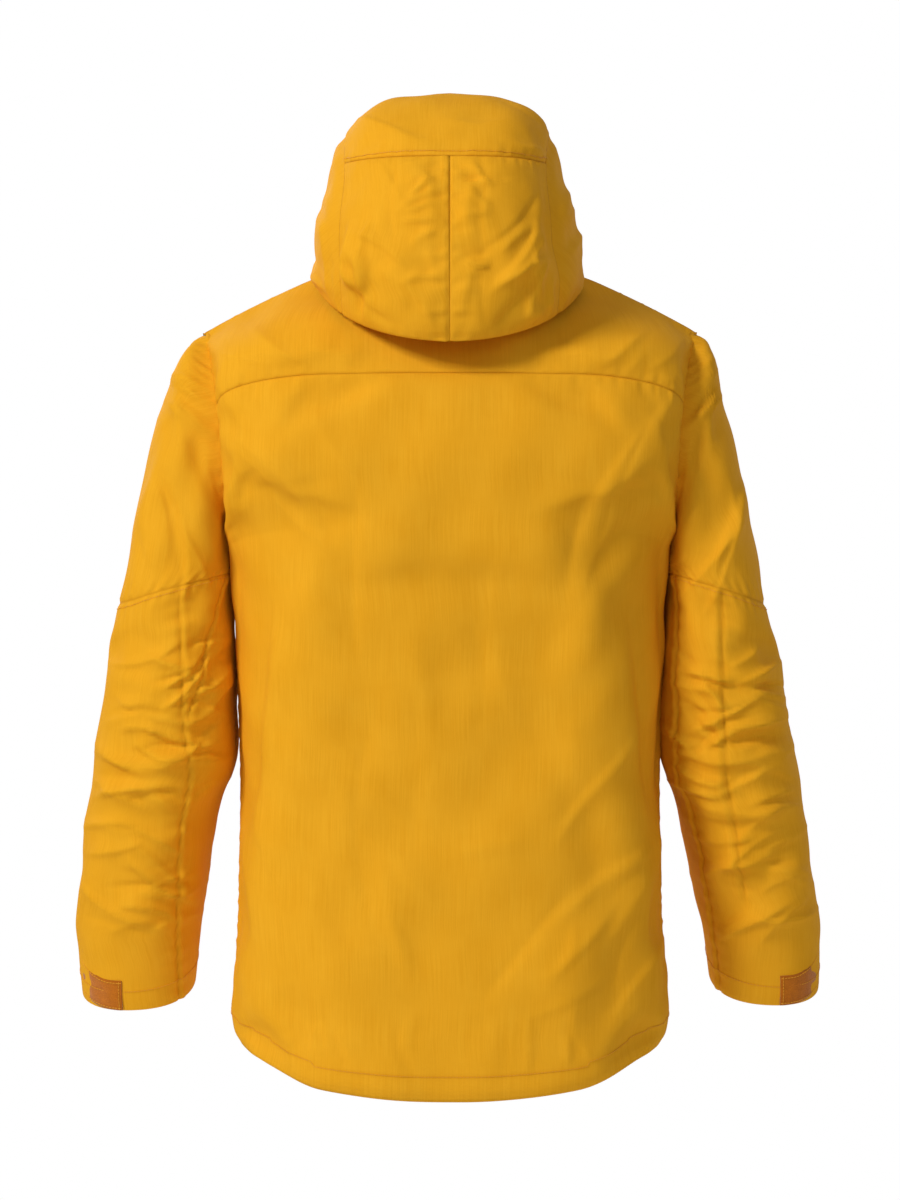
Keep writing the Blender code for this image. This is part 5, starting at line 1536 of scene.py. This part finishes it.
def weltGrid(mirrored):
    top = gridOn(frontSurface, np.array([0.46, 0.461]), np.array([3.5, 3.501]), mirrored)[0, 0]
    end = gridOn(frontSurface, np.array([0.60, 0.601]), np.array([1.75, 1.751]), mirrored)[0, 0]
    down = (end - top) / np.linalg.norm(end - top)
    patch = gridOn(frontSurface, np.array([0.526, 0.534]), np.array([2.596, 2.604]), mirrored)
    normal = gridNormals(patch, coreTorso)[0, 0]
    normal = normal - down * (normal @ down)
    normal /= np.linalg.norm(normal)
    sideways = np.cross(down, normal)
    length = weltLook["length"]
    loop = np.linspace(0, 2 * np.pi, 97)
    halfLength = length / 2 + weltLook["gap"]
    halfWidth = weltLook["reach"] + weltLook["gap"]
    along = halfLength * power(np.cos(loop), 14.0)
    over = halfWidth * power(np.sin(loop), 5.0)
    ring = top + down * (length / 2) + normal * weltLook["lift"]
    centre = ring + along[:, None] * down + over[:, None] * sideways
    spread = np.gradient(centre, axis=0)
    spread[0] = spread[-1] = centre[1] - centre[-2]
    outward = np.cross(spread, normal)
    outward /= np.linalg.norm(outward, axis=1, keepdims=True)
    profile = np.linspace(-0.25, 1.25, 13) * np.pi
    reach = np.cos(profile) * weltLook["radius"]
    rise = np.sin(profile) * weltLook["radius"] * 0.75
    rise = np.where((profile < 0) | (profile > np.pi), rise - 0.009, rise)
    return (centre[:, None] + reach[None, :, None] * outward[:, None]
            + rise[None, :, None] * normal)


for side, mirrored in bothSides:
    grid = weltGrid(mirrored)
    grid[-1] = grid[0]
    face = np.cross(np.gradient(grid, axis=0), np.gradient(grid, axis=1))
    front = np.array([0.3 if not mirrored else -0.3, -1, 0])
    if np.sum(face[:, 6] * front) < 0:
        grid = grid[::-1]
    data = patternMesh("pocket_welt_" + side, grid, (("seamLine", np.zeros(grid.shape[:2])),),
                       closed=True)
    welt = newPiece("pocket_welt_" + side, data, [shellCloth], wall=0.0008)
    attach(welt, "torso")
print("trims made")

# Floor, light and camera
stageLook = {"floorZ": -1.20, "floorRadius": 1.35, "floor": "#f4f4f2", "sky": 0.34,
             "lens": 96.0, "distance": 3.2, "height": -0.311}
mesh = bmesh.new()
bmesh.ops.create_circle(mesh, cap_ends=True, segments=96,
                        radius=stageLook["floorRadius"])
bmesh.ops.translate(mesh, vec=(0, 0.3, stageLook["floorZ"]), verts=mesh.verts[:])
data = bpy.data.meshes.new("studio_floor")
mesh.to_mesh(data)
mesh.free()
floor = bpy.data.objects.new("studio_floor", data)
bpy.context.collection.objects.link(floor)
data.materials.append(newMaterial("pale_floor", stageLook["floor"], 0.9)[0])

world = bpy.data.worlds.new("studio")
bpy.context.scene.world = world
world.use_nodes = True
tree = world.node_tree
sky = tree.nodes["Background"]
sky.inputs["Color"].default_value = (1.0, 1.0, 1.0, 1.0)
sky.inputs["Strength"].default_value = stageLook["sky"]
seen = addNode(tree, "ShaderNodeBackground", values={"Color": (1, 1, 1, 1), "Strength": 1.0})
path = addNode(tree, "ShaderNodeLightPath")
mix = addNode(tree, "ShaderNodeMixShader", links={0: path.outputs["Is Camera Ray"],
              1: sky.outputs["Background"], 2: seen.outputs["Background"]})
tree.links.new(mix.outputs["Shader"], tree.nodes["World Output"].inputs["Surface"])


def areaLight(name, place, size, watts, target=(0, -0.04, -0.35)):
    made = bpy.data.lights.new(name, "AREA")
    made.size = size
    made.energy = watts
    lamp = bpy.data.objects.new(name, made)
    lamp.location = place
    lamp.rotation_euler = (Vector(target) - Vector(place)).to_track_quat("-Z", "Y").to_euler()
    bpy.context.collection.objects.link(lamp)


lights = {  # place, size, watts
    "key_light": ((2.3, 2.3, 1.6), 0.9, 102),
    "fill_light": ((-1.4, 2.8, 0.6), 1.6, 9),
    "front_light": ((1.4, -2.6, 0.8), 1.8, 40),
    "front_fill": ((-1.8, -2.2, 0.2), 1.8, 12),
}
for name, (place, size, watts) in lights.items():
    areaLight(name, place, size, watts)

lensData = bpy.data.cameras.new("camera")
lensData.lens = stageLook["lens"]
lensData.sensor_width = 36.0
camera = bpy.data.objects.new("camera", lensData)
camera.location = (0, plane + stageLook["distance"], stageLook["height"])
camera.rotation_euler = (math.radians(90), 0, math.radians(180))
bpy.context.collection.objects.link(camera)
bpy.context.scene.camera = camera
bpy.context.scene.view_settings.view_transform = "Standard"
